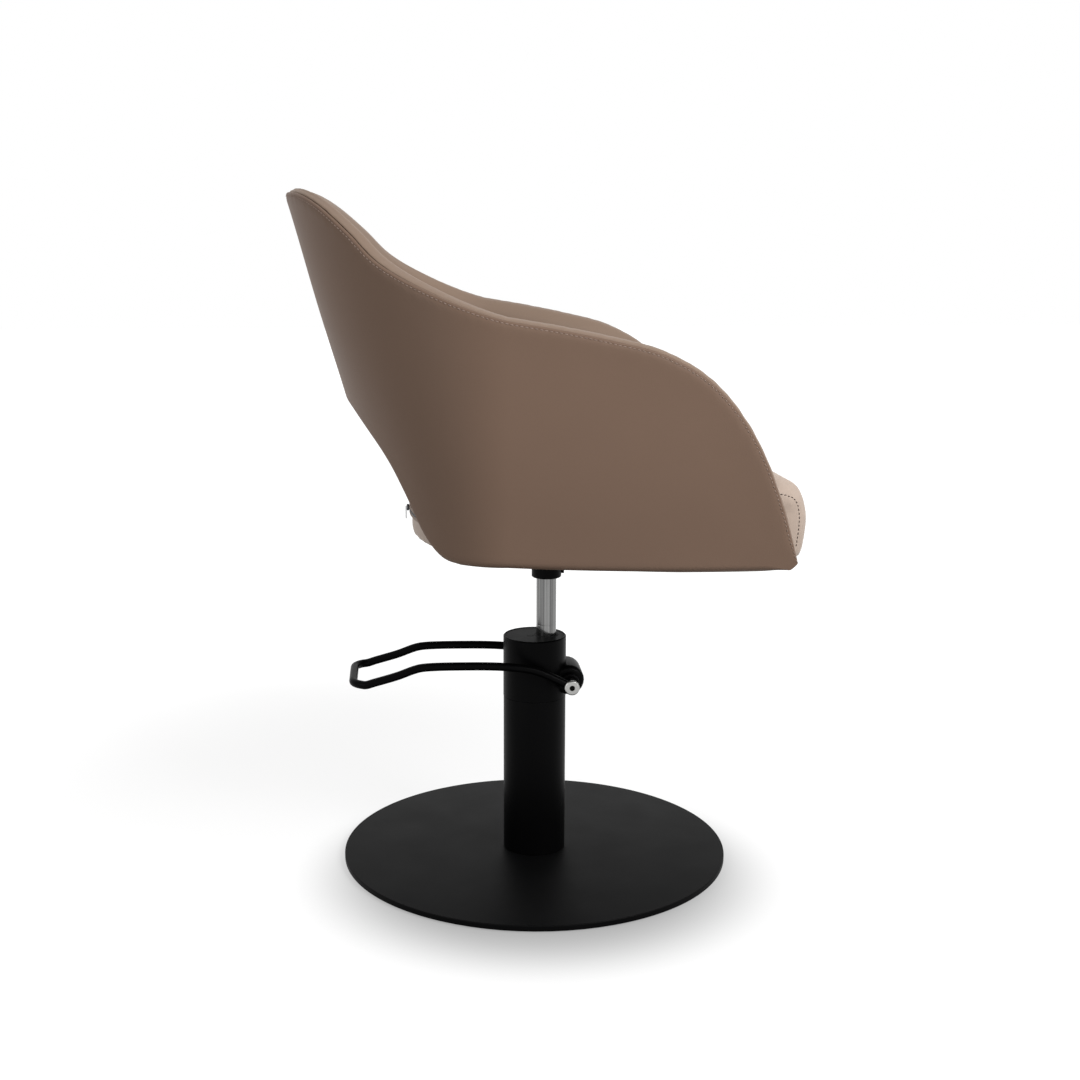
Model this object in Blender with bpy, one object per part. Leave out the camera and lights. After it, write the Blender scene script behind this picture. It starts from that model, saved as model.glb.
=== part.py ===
"""Hairdressing chair: a padded tub on a hydraulic foot pump and a round floor plate.

Metres, +Z up. The chair faces +X and the floor is z = 0 under the middle of the base plate.
Every piece is its own object, and what fits or seats takes its size from the same named values.
"""
import math

import bmesh
import bpy
import numpy as np

for old in list(bpy.data.objects):
    bpy.data.objects.remove(old, do_unlink=True)

# Clearances
GAP = 0.0003
LAYER_GAP = 0.0008
CUT = 0.001

# Sides of round pieces: plates, the column, shafts and fasteners
PLATE_SIDES = 80
COLUMN_SIDES = 48
SHAFT_SIDES = 24
FASTENER_SIDES = 12

# Floor plate
FLOOR_MAT_T = 0.0015
FLOOR_MAT_INSET = 0.004
BASE_R = 0.275
BASE_T = 0.0078
BASE_EDGE = 0.0012
BASE_BOLT_R = 0.004
BASE_BOLT_HEAD_R = 0.0068
BASE_BOLT_HEAD_H = 0.004
BASE_BOLT_CIRCLE_R = 0.027
BASE_BOLT_COUNT = 4

# Column and pump
COLUMN_R = 0.0443
COLUMN_WALL = 0.0038
COLUMN_L = 0.228
HEAD_PROUD = 0.0004
HEAD_L = 0.088
HEAD_SPIGOT_L = 0.014
HEAD_SPIGOT_WALL = 0.0024
HEAD_EDGE = 0.0015
FOOT_T = 0.014
VALVE_BLOCK_T = 0.036
CAP_T = 0.012
CAP_RECESS = 0.0007
CAP_RIM_WALL = 0.0024
CAP_EDGE = 0.0008
CAP_WEB = 0.0015
FILLER_R = 0.0046
FILLER_HEAD_T = 0.0022
FILLER_SHANK_R = 0.0025
FILLER_SLOT_W = 0.0014
FILLER_SIDE = 0.006
RAM_OFFSET_X = 0.0164
RAM_R = 0.0142
RAM_RUN_GAP = 0.0003
RAM_STANDOUT = 0.084
BUSH_WALL = 0.0025
WIPER_H = 0.004
WIPER_PROUD = 0.0004
CYLINDER_WALL = 0.002
PISTON_STEP = 0.001
PISTON_H = 0.022
PISTON_DROP = 0.154
PISTON_SEAL_H = 0.006
PISTON_SEAL_DEPTH = 0.0022

# Foot lever, its axle and the plunger that it works. The arm's points are behind the axle and above it,
# and the tread's are ahead of the cross bar and above the axle.
LEVER_AXLE_AHEAD = 0.0023
LEVER_AXLE_R = 0.006
BOSS_R = 0.0215
BOSS_UP = 0.0055
BOSS_CHEEK = 0.0073
BOSS_ROUND = 0.007
AXLE_BUSH_WALL = 0.0065
AXLE_BUSH_L = 0.0115
AXLE_BUSH_EDGE = 0.001
LEVER_HUB_WALL = 0.0025
LEVER_SIDE_GAP = 0.008
LEVER_BOLT_R = 0.0104
LEVER_BOLT_T = 0.0045
LEVER_BOLT_EDGE = 0.0012
LEVER_SOCKET_R = 0.0040
LEVER_SOCKET_DEPTH = 0.0028
LEVER_BAR_R = 0.005
LEVER_ARM_PATH = [(0.0495, 0.0230), (0.0880, 0.0295)]
LEVER_TREAD_PATH = [(0.1520, 0.0320), (0.0970, 0.0310), (0.0855, 0.0285), (0.0620, 0.0200), (0.0300, 0.0110)]
LEVER_CROSS_BACK = 0.304
LEVER_CROSS_RISE = 0.0075
LEVER_CORNER_R = 0.024
FORK_HUB_WALL = 0.0032
FORK_CLEARANCE = 0.0012
FORK_TINE_W = 0.004
FORK_TINE_H = 0.009
FORK_BRIDGE_R = 0.0042
PLUNGER_R = 0.0052
PLUNGER_HEAD_R = 0.0080
PLUNGER_HEAD_T = 0.004
PLUNGER_L = 0.110
BARREL_WALL = 0.0032
BARREL_WEB = 0.009
SPRING_L = 0.052
SPRING_WIRE_R = 0.0007
SPRING_TURNS = 7
SPRING_TURN_STEPS = 8

# Seat mounting
SOCKET_WALL = 0.0068
SOCKET_L = 0.068
SOCKET_EDGE = 0.0015
SOCKET_SCREW_R = 0.0026
SOCKET_SCREW_HEAD_R = 0.0034
SOCKET_SCREW_HEAD_L = 0.0034
SOCKET_SCREW_UP = 0.008
SOCKET_TOP_WALL = 0.016
SEAT_PLATE_W = 0.170
SEAT_PLATE_T = 0.005
SEAT_PLATE_CORNER_R = 0.018
PLATE_BOLT_R = 0.004
PLATE_BOLT_HEAD_R = 0.0072
PLATE_BOLT_HEAD_H = 0.0046
PLATE_BOLT_INSET = 0.022
BOARD_T = 0.015
BOARD_NOTCH_BACK = 0.0605
BOARD_TONGUE_IN = 0.011
BOARD_REAR_IN = 0.048
DUST_COVER_T = 0.0012
DUST_COVER_INSET = 0.006
BRACKET_T = 0.0025
BRACKET_LEG = 0.022
BRACKET_H = 0.018
BRACKET_L = 0.034
BRACKET_FRONT_IN = 0.068
BRACKET_REAR_IN = 0.125
BRACKET_SCREW_R = 0.0022
BRACKET_SCREW_HEAD_R = 0.0044
BRACKET_SCREW_HEAD_H = 0.0022

# Tub: its plan is a half ellipse behind and straight sides ahead, and its back leans. Heights are above
# the seat board's underside. The arm's rim points are back from the tub's front, and the rim and the arch
# round the back are at degrees from the rear centre.
TUB_TURN_X = -0.055
TUB_REAR_REACH = 0.280
TUB_REAR_UP = 0.4532
TUB_LEAN = 0.2817
TUB_HALF_W = 0.285
TUB_WIDE_UP = 0.3162
TUB_BOTTOM_HALF_W = 0.262
TUB_BOTTOM_DROP = 0.0133
TUB_FULLNESS = 1.6
TUB_FRONT_X = 0.3085
TUB_CORNER_CUT = 0.012
TUB_BELLY = 0.0095
TUB_BELLY_BACK = 0.0885
TUB_BELLY_SPAN = 0.29
RIM_ALONG_ARM = [(0.0, -0.0018), (0.0204, 0.0656), (0.0492, 0.1350), (0.0820, 0.1884),
                 (0.1227, 0.2304), (0.1779, 0.2609), (0.2386, 0.2773), (0.3035, 0.2907)]
RIM_ROUND_BACK = [(85.0, 0.3063), (67.4, 0.3332), (51.2, 0.3692), (42.4, 0.4049),
                  (32.6, 0.4352), (22.0, 0.4507), (0.0, 0.4547)]
ARCH_ROUND_BACK = [(0.0, 0.1842), (16.6, 0.1782), (31.0, 0.1408), (38.0, 0.1118),
                   (43.6, 0.0732), (50.0, 0.0242), (57.0, 0.0019), (66.0, -0.0048)]
COVER_T = 0.006
FRAME_T = 0.012
PAD_ARM_T = 0.050
PAD_BACK_T = 0.066
PAD_CROWN = 0.005
PAD_TOP_SLOPE = 0.06
PAD_HOOK = 0.012
PAD_BRACKET_GAP = 0.0035
PAD_SWELL = 0.003
PAD_FOOT_ROUND = 0.014
PAD_TOP_ROUND = 0.018
PAD_SHOULDER = 0.005
PAD_RIM_ROUND = 0.016
PAD_RIM_EDGE = 0.012
PAD_FULL_L = 0.090
RIM_STEPS = 36
COVER_ROWS = 5
FRAME_ROWS = 5

# Seat cushion and its zip
CUSHION_AHEAD = 0.0275
CUSHION_REAR_BULGE = 0.0357
CUSHION_TURN_AHEAD = 0.013
CUSHION_SIDE_GAP = 0.001
CUSHION_CORNER_R = 0.045
CUSHION_T = 0.0790
CUSHION_CROWN = 0.012
CUSHION_EDGE = 0.024
CUSHION_DRAW_IN = 0.004
CUSHION_HEM = 0.0096
CUSHION_HEM_IN = 0.002
CUSHION_LIP_T = 0.024
CUSHION_LIP_DROP = 0.0186
CUSHION_SIDES = 64
ZIP_UP = 0.0316
ZIP_H = 0.012
ZIP_T = 0.0010
ZIP_HALF_L = 0.095
ZIP_SLIDER_W = 0.010
ZIP_SLIDER_H = 0.0085
ZIP_SLIDER_T = 0.0034
ZIP_PULL_L = 0.016
ZIP_PULL_W = 0.0050
ZIP_PULL_T = 0.0012

# Heights and places worked out from the sizes above
PLATE_Z0 = FLOOR_MAT_T + GAP
PLATE_Z1 = PLATE_Z0 + BASE_T
COLUMN_Z0 = PLATE_Z1 + GAP
COLUMN_Z1 = COLUMN_Z0 + COLUMN_L
COLUMN_IN_R = COLUMN_R - COLUMN_WALL
FOOT_Z1 = COLUMN_Z0 + FOOT_T
BLOCK_Z0 = FOOT_Z1 + GAP
BLOCK_Z1 = BLOCK_Z0 + VALVE_BLOCK_T
HEAD_R = COLUMN_R + HEAD_PROUD
HEAD_Z0 = COLUMN_Z1 + GAP
HEAD_Z1 = HEAD_Z0 + HEAD_L
SPIGOT_R = COLUMN_IN_R - GAP
HEAD_IN_R = SPIGOT_R - HEAD_SPIGOT_WALL
CAP_Z1 = HEAD_Z1 - CAP_RECESS
CAP_Z0 = CAP_Z1 - CAP_T
CAP_SEAT_R = HEAD_R - CAP_RIM_WALL
BUSH_R = RAM_R + RAM_RUN_GAP + BUSH_WALL
FILLER_X = RAM_OFFSET_X - BUSH_R - CAP_WEB - FILLER_R
PISTON_Z1 = HEAD_Z1 - PISTON_DROP
PISTON_Z0 = PISTON_Z1 - PISTON_H
PISTON_R = RAM_R + PISTON_STEP
CYLINDER_BORE_R = PISTON_R + RAM_RUN_GAP
CYLINDER_R = CYLINDER_BORE_R + CYLINDER_WALL
FORK_TINE_IN = CYLINDER_R + FORK_CLEARANCE
FORK_HALF_W = FORK_TINE_IN + FORK_TINE_W
FORK_HUB_R = LEVER_AXLE_R + FORK_HUB_WALL
LEVER_AXLE_X = HEAD_R + LEVER_AXLE_AHEAD
AXLE_Z = HEAD_Z0 + BOSS_UP + BOSS_R
AXLE_BUSH_R = LEVER_AXLE_R + AXLE_BUSH_WALL
BOSS_HALF_L = FORK_HALF_W + BOSS_CHEEK
BUSH_Y0 = BOSS_HALF_L + GAP
BUSH_Y1 = BUSH_Y0 + AXLE_BUSH_L
LEVER_HUB_R = LEVER_AXLE_R + LEVER_HUB_WALL
ARM_Y = HEAD_R + LEVER_SIDE_GAP + LEVER_BAR_R
HUB_Y0 = BUSH_Y1 + GAP
HUB_Y1 = ARM_Y + LEVER_BAR_R
BARREL_BORE_R = PLUNGER_R + RAM_RUN_GAP
BARREL_R = BARREL_BORE_R + BARREL_WALL
PLUNGER_X = RAM_OFFSET_X - CYLINDER_R - BARREL_WEB - BARREL_R
PLUNGER_Z1 = AXLE_Z - FORK_BRIDGE_R - GAP
PLUNGER_HEAD_Z0 = PLUNGER_Z1 - PLUNGER_HEAD_T
BARREL_Z0 = BLOCK_Z1 + GAP
BARREL_Z1 = PLUNGER_HEAD_Z0 - SPRING_L
SOCKET_R = RAM_R + SOCKET_WALL
SOCKET_Z0 = HEAD_Z1 + RAM_STANDOUT
SOCKET_Z1 = SOCKET_Z0 + SOCKET_L
RAM_Z1 = SOCKET_Z1 - SOCKET_TOP_WALL
SEAT_PLATE_Z0 = SOCKET_Z1 + GAP
SEAT_PLATE_Z1 = SEAT_PLATE_Z0 + SEAT_PLATE_T
BOARD_Z0 = SEAT_PLATE_Z1 + GAP
BOARD_Z1 = BOARD_Z0 + BOARD_T
FRAME_OUT_D = COVER_T + LAYER_GAP
FRAME_IN_D = FRAME_OUT_D + FRAME_T
PAD_OUT_D = FRAME_IN_D + LAYER_GAP
BRACKET_Z0 = BOARD_Z1 + GAP
PAD_BOTTOM_Z = BRACKET_Z0 + BRACKET_H + PAD_BRACKET_GAP
TUB_REAR_Z = BOARD_Z0 + TUB_REAR_UP
TUB_WIDE_Z = BOARD_Z0 + TUB_WIDE_UP
TUB_BOTTOM_Z = BOARD_Z0 - TUB_BOTTOM_DROP
TUB_BELLY_X = TUB_FRONT_X - TUB_BELLY_BACK
TUB_QUARTER_RUN = math.pi / 4 * (TUB_REAR_REACH + TUB_HALF_W)
TUB_FOOT_REAR_X = TUB_TURN_X - TUB_REAR_REACH + TUB_LEAN * TUB_REAR_UP
CUSHION_Z0 = BOARD_Z1 + GAP
CUSHION_Z1 = CUSHION_Z0 + CUSHION_T
CUSHION_LIP_Z = CUSHION_Z0 - CUSHION_LIP_DROP
CUSHION_HEM_Z = CUSHION_LIP_Z + CUSHION_HEM
CUSHION_WAIST_Z = (CUSHION_Z0 + CUSHION_Z1) / 2
CUSHION_HALF_W = TUB_BOTTOM_HALF_W - PAD_ARM_T - CUSHION_SIDE_GAP
CUSHION_FRONT_X = TUB_FRONT_X + CUSHION_AHEAD
CUSHION_REAR_X = TUB_FOOT_REAR_X + PAD_BACK_T - CUSHION_REAR_BULGE
CUSHION_TURN_X = TUB_TURN_X + CUSHION_TURN_AHEAD
CUSHION_REAR_A = CUSHION_TURN_X - CUSHION_REAR_X
BOARD_FRONT_X = CUSHION_FRONT_X - CUSHION_LIP_T - LAYER_GAP
BOARD_NOTCH_X = TUB_FRONT_X - BOARD_NOTCH_BACK
BOARD_REAR_X = CUSHION_REAR_X + CUSHION_LIP_T + BOARD_REAR_IN
BOARD_TONGUE_W = CUSHION_HALF_W - CUSHION_CORNER_R - BOARD_TONGUE_IN
BRACKET_FRONT_X = BOARD_NOTCH_X - BRACKET_FRONT_IN
BRACKET_REAR_X = BOARD_REAR_X + BRACKET_REAR_IN
ZIP_Z = CUSHION_LIP_Z + ZIP_UP
ZIP_INSET = float(np.interp(ZIP_Z - ZIP_H / 2, (CUSHION_HEM_Z, CUSHION_WAIST_Z),
                            (CUSHION_HEM_IN, CUSHION_DRAW_IN)))
ZIP_ARC_R = (CUSHION_HALF_W - ZIP_INSET) ** 2 / (CUSHION_REAR_A - ZIP_INSET)
ZIP_CENTRE_X = CUSHION_REAR_X + ZIP_INSET + ZIP_ARC_R


# Materials


def finish(name, colour, roughness, metallic=0.0):
    """One Principled material with a plain colour, roughness and metallic value."""
    made = bpy.data.materials.new(name)
    made.use_nodes = True
    shader = made.node_tree.nodes["Principled BSDF"]
    shader.inputs["Base Color"].default_value = (*colour, 1.0)
    shader.inputs["Roughness"].default_value = roughness
    shader.inputs["Metallic"].default_value = metallic
    return made


BLACK_COAT = finish("black_powder_coat", (0.012, 0.012, 0.013), 0.45)
BLACK_STEEL = finish("blackened_steel", (0.020, 0.020, 0.022), 0.40, 0.6)
BRIGHT_STEEL = finish("bright_steel", (0.62, 0.62, 0.61), 0.25, 1.0)
GROUND_STEEL = finish("ground_steel", (0.55, 0.55, 0.54), 0.18, 1.0)
CAST_ALLOY = finish("cast_alloy", (0.45, 0.45, 0.46), 0.45, 1.0)
BRONZE = finish("bronze", (0.45, 0.30, 0.15), 0.35, 1.0)
BLACK_RUBBER = finish("black_rubber", (0.015, 0.015, 0.015), 0.80)
PLYWOOD = finish("plywood", (0.50, 0.36, 0.22), 0.65)
DUST_CLOTH = finish("dust_cloth", (0.012, 0.012, 0.012), 0.95)
OUTER_VINYL = finish("outer_vinyl", (0.125, 0.083, 0.063), 0.55)
INNER_VINYL = finish("inner_vinyl", (0.215, 0.150, 0.115), 0.55)
SEAT_VINYL = finish("seat_vinyl", (0.42, 0.31, 0.26), 0.55)
ZIP_TAPE = finish("zip_tape", (0.05, 0.04, 0.035), 0.80)
ZIP_METAL = finish("zip_metal", (0.30, 0.29, 0.28), 0.35, 1.0)

# Joint axes as empties, so that what moves has its origin on its axis


def axis_empty(name, place):
    """An empty that marks a joint's axis and carries what turns or slides there."""
    marker = bpy.data.objects.new(name, None)
    marker.location = place
    bpy.context.scene.collection.objects.link(marker)
    return marker


RAM_AXIS = axis_empty("ram_axis", (RAM_OFFSET_X, 0.0, PISTON_Z1))
SEAT_AXIS = axis_empty("seat_axis", (RAM_OFFSET_X, 0.0, SOCKET_Z0))
LEVER_AXIS = axis_empty("lever_axis", (LEVER_AXLE_X, 0.0, AXLE_Z))
PLUNGER_AXIS = axis_empty("plunger_axis", (PLUNGER_X, 0.0, PLUNGER_Z1))
ZIP_AXIS = axis_empty("zip_axis", (ZIP_CENTRE_X, 0.0, ZIP_Z))

# Mesh helpers


def add_piece(name, points, faces, look, parent=None, smooth=30.0):
    """A closed piece from world points and faces, with its origin on its parent's axis."""
    origin = np.array(parent.location) if parent else np.zeros(3)
    mesh = bpy.data.meshes.new(name)
    mesh.from_pydata((np.asarray(points, float) - origin).tolist(), [], [tuple(f) for f in faces])
    work = bmesh.new()
    work.from_mesh(mesh)
    bmesh.ops.recalc_face_normals(work, faces=work.faces)
    work.to_mesh(mesh)
    work.free()
    mesh.shade_smooth()
    mesh.set_sharp_from_angle(angle=math.radians(smooth))
    piece = bpy.data.objects.new(name, mesh)
    bpy.context.scene.collection.objects.link(piece)
    piece.parent = parent
    if look:
        mesh.materials.append(look)
    return piece


def turn_points(profile, sides, centre, along):
    """Points and faces of a closed (radius, distance) loop turned about an axis through centre."""
    loop = np.asarray(profile, float)
    angle = np.arange(sides) * 2 * math.pi / sides
    far = np.outer(np.cos(angle), loop[:, 0])
    side = np.outer(np.sin(angle), loop[:, 0])
    run = np.tile(loop[:, 1], (sides, 1))
    order = {"X": (run, far, side), "Y": (side, run, far), "Z": (far, side, run)}[along]
    grid = np.stack(order, -1) + np.asarray(centre, float)
    return grid


def turned(name, profile, look, centre=(0.0, 0.0, 0.0), along="Z", sides=COLUMN_SIDES, parent=None):
    """A turned piece: a closed loop of (radius, distance), or a rod where the loop meets the axis."""
    loop = list(profile)
    on_axis = [abs(r) < 1e-9 for r, _ in loop]
    count = len(loop)
    grid = turn_points(loop, sides, centre, along)
    index = np.arange(sides * count).reshape(sides, count)
    index[:, on_axis] = index[0, on_axis]
    faces = []
    for i in range(sides):
        for j in range(count):
            k = (j + 1) % count
            if on_axis[j] and on_axis[k]:
                continue
            ring = [index[i, j], index[(i + 1) % sides, j], index[(i + 1) % sides, k], index[i, k]]
            face = [v for n, v in enumerate(ring) if v not in ring[:n]]
            faces.append(face)
    used = sorted({v for face in faces for v in face})
    renumber = {v: n for n, v in enumerate(used)}
    points = grid.reshape(-1, 3)[used]
    return add_piece(name, points, [[renumber[v] for v in f] for f in faces], look, parent)


def rod_loop(radius, low, high, edge=0.0):
    """Loop of a solid rod from low to high, with chamfered ends."""
    if edge <= 0.0:
        return [(0.0, high), (radius, high), (radius, low), (0.0, low)]
    return [(0.0, high), (radius - edge, high), (radius, high - edge),
            (radius, low + edge), (radius - edge, low), (0.0, low)]


def tube_loop(outer, inner, low, high, edge=0.0):
    """Loop of a tube from low to high, with chamfered outer edges."""
    if edge <= 0.0:
        return [(inner, high), (outer, high), (outer, low), (inner, low)]
    return [(inner, high), (outer - edge, high), (outer, high - edge),
            (outer, low + edge), (outer - edge, low), (inner, low)]


def slab(name, outline, low, high, look, parent=None):
    """A flat piece: a closed (x, y) outline between two heights."""
    count = len(outline)
    points = [(x, y, low) for x, y in outline] + [(x, y, high) for x, y in outline]
    faces = [list(range(count)), list(range(2 * count - 1, count - 1, -1))]
    for i in range(count):
        j = (i + 1) % count
        faces.append([i, j, count + j, count + i])
    return add_piece(name, points, faces, look, parent)


def block(name, low, high, look, parent=None):
    """A plain box between two corners."""
    outline = [(low[0], low[1]), (high[0], low[1]), (high[0], high[1]), (low[0], high[1])]
    return slab(name, outline, low[2], high[2], look, parent)


def as_tool(piece):
    """Mark a piece as a cutter or joiner that isn't part of the object."""
    piece.hide_render = True
    piece.display_type = "WIRE"
    return piece


def boolean(piece, tool, operation):
    """Cut a tool out of a piece, or join it on."""
    step = piece.modifiers.new(operation.lower(), "BOOLEAN")
    step.operation = operation
    step.solver = "EXACT"
    step.object = as_tool(tool)


def bore(piece, radius, low, high, centre, along="Z", sides=FASTENER_SIDES):
    """Cut a round hole through a piece."""
    name = "cut_" + piece.name + "_" + str(len(piece.modifiers))
    tool = turned(name, rod_loop(radius, low, high), None, centre, along, sides, piece.parent)
    boolean(piece, tool, "DIFFERENCE")


def rounded_square(width, radius, centre_x=0.0, steps=6):
    """Outline of a square with round corners, centred on (centre_x, 0)."""
    outline = []
    reach = width / 2 - radius
    for quarter, (sx, sy) in enumerate([(1, 1), (-1, 1), (-1, -1), (1, -1)]):
        for i in range(steps + 1):
            angle = (quarter + i / steps) * math.pi / 2
            outline.append((centre_x + sx * reach + radius * math.cos(angle),
                            sy * reach + radius * math.sin(angle)))
    return outline


def corner_places(reach, centre_x=0.0):
    """Four places at the corners of a square round (centre_x, 0)."""
    return [(centre_x + sx * reach, sy * reach) for sx in (1, -1) for sy in (1, -1)]


def smooth_curve(controls, steps=24):
    """Points of a centripetal Catmull-Rom curve through the controls, ends included."""
    knots = np.asarray(controls, float)
    first = 2 * knots[0] - knots[1]
    last = 2 * knots[-1] - knots[-2]
    ext = np.vstack([first, knots, last])
    out = []
    for i in range(1, len(ext) - 2):
        p0, p1, p2, p3 = ext[i - 1:i + 3]
        t1 = np.linalg.norm(p1 - p0) ** 0.5
        t2 = t1 + np.linalg.norm(p2 - p1) ** 0.5
        t3 = t2 + np.linalg.norm(p3 - p2) ** 0.5
        t = np.linspace(t1, t2, steps, endpoint=False)[:, None]
        a1 = (t1 - t) / t1 * p0 + t / t1 * p1
        a2 = (t2 - t) / (t2 - t1) * p1 + (t - t1) / (t2 - t1) * p2
        a3 = (t3 - t) / (t3 - t2) * p2 + (t - t2) / (t3 - t2) * p3
        b1 = (t2 - t) / t2 * a1 + t / t2 * a2
        b2 = (t3 - t) / (t3 - t1) * a2 + (t - t1) / (t3 - t1) * a3
        out.append((t2 - t) / (t2 - t1) * b1 + (t - t1) / (t2 - t1) * b2)
    out.append(knots[-1:])
    return np.vstack(out)


def along_curve(curve, fractions):
    """Points at fractions of a curve's length."""
    step = np.linalg.norm(np.diff(curve, axis=0), axis=1)
    length = np.concatenate([[0.0], np.cumsum(step)])
    want = np.asarray(fractions) * length[-1]
    return np.stack([np.interp(want, length, curve[:, i]) for i in range(curve.shape[1])], -1)


def swept(name, path, radius, look, parent=None, sides=10):
    """A round bar along a path, with flat ends square to it."""
    path = np.asarray(path, float)
    tangent = np.gradient(path, axis=0)
    tangent /= np.linalg.norm(tangent, axis=1)[:, None]
    normal = np.zeros_like(path)
    guide = np.array([0.0, 0.0, 1.0])
    if abs(tangent[0] @ guide) > 0.9:
        guide = np.array([1.0, 0.0, 0.0])
    for i, way in enumerate(tangent):
        guide = guide - way * (guide @ way)
        guide = guide / np.linalg.norm(guide)
        normal[i] = guide
    across = np.cross(tangent, normal)
    angle = np.arange(sides) * 2 * math.pi / sides
    ring = np.einsum("s,pk->psk", np.cos(angle), normal) + np.einsum("s,pk->psk", np.sin(angle), across)
    points = (path[:, None, :] + radius * ring).reshape(-1, 3)
    index = np.arange(len(path) * sides).reshape(len(path), sides)
    faces = [index[0].tolist(), index[-1][::-1].tolist()]
    for i in range(len(path) - 1):
        for j in range(sides):
            k = (j + 1) % sides
            faces.append([index[i, j], index[i, k], index[i + 1, k], index[i + 1, j]])
    return add_piece(name, points, faces, look, parent)


# Base: mat, plate, bolts, column and pump body


def make_base():
    """Mat, floor plate with its bolts, column tube, foot and valve block."""
    mat_r = BASE_R - FLOOR_MAT_INSET
    turned("floor_mat", rod_loop(mat_r, 0.0, FLOOR_MAT_T), BLACK_RUBBER, sides=PLATE_SIDES)
    plate_loop = rod_loop(BASE_R, PLATE_Z0, PLATE_Z1, BASE_EDGE)
    plate = turned("base_plate", plate_loop, BLACK_COAT, sides=PLATE_SIDES)
    foot = turned("pump_foot", rod_loop(SPIGOT_R, COLUMN_Z0, FOOT_Z1), BLACK_STEEL)
    head_z1 = PLATE_Z0 + BASE_BOLT_HEAD_H
    for i in range(BASE_BOLT_COUNT):
        angle = (i + 0.5) * 2 * math.pi / BASE_BOLT_COUNT
        place = (BASE_BOLT_CIRCLE_R * math.cos(angle), BASE_BOLT_CIRCLE_R * math.sin(angle), 0.0)
        loop = [(0.0, FOOT_Z1), (BASE_BOLT_R, FOOT_Z1), (BASE_BOLT_R, head_z1),
                (BASE_BOLT_HEAD_R, head_z1), (BASE_BOLT_HEAD_R, PLATE_Z0), (0.0, PLATE_Z0)]
        turned("base_bolt_" + str(i + 1), loop, BRIGHT_STEEL, place, sides=FASTENER_SIDES)
        bore(plate, BASE_BOLT_R + GAP, PLATE_Z0 - CUT, PLATE_Z1 + CUT, place)
        bore(plate, BASE_BOLT_HEAD_R + GAP, PLATE_Z0 - CUT, head_z1 + GAP, place)
        bore(foot, BASE_BOLT_R + GAP, COLUMN_Z0 - CUT, FOOT_Z1 + CUT, place)
    turned("column_tube", tube_loop(COLUMN_R, COLUMN_IN_R, COLUMN_Z0, COLUMN_Z1, CAP_EDGE), BLACK_COAT)
    turned("valve_block", rod_loop(SPIGOT_R, BLOCK_Z0, BLOCK_Z1, HEAD_EDGE), CAST_ALLOY)


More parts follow.
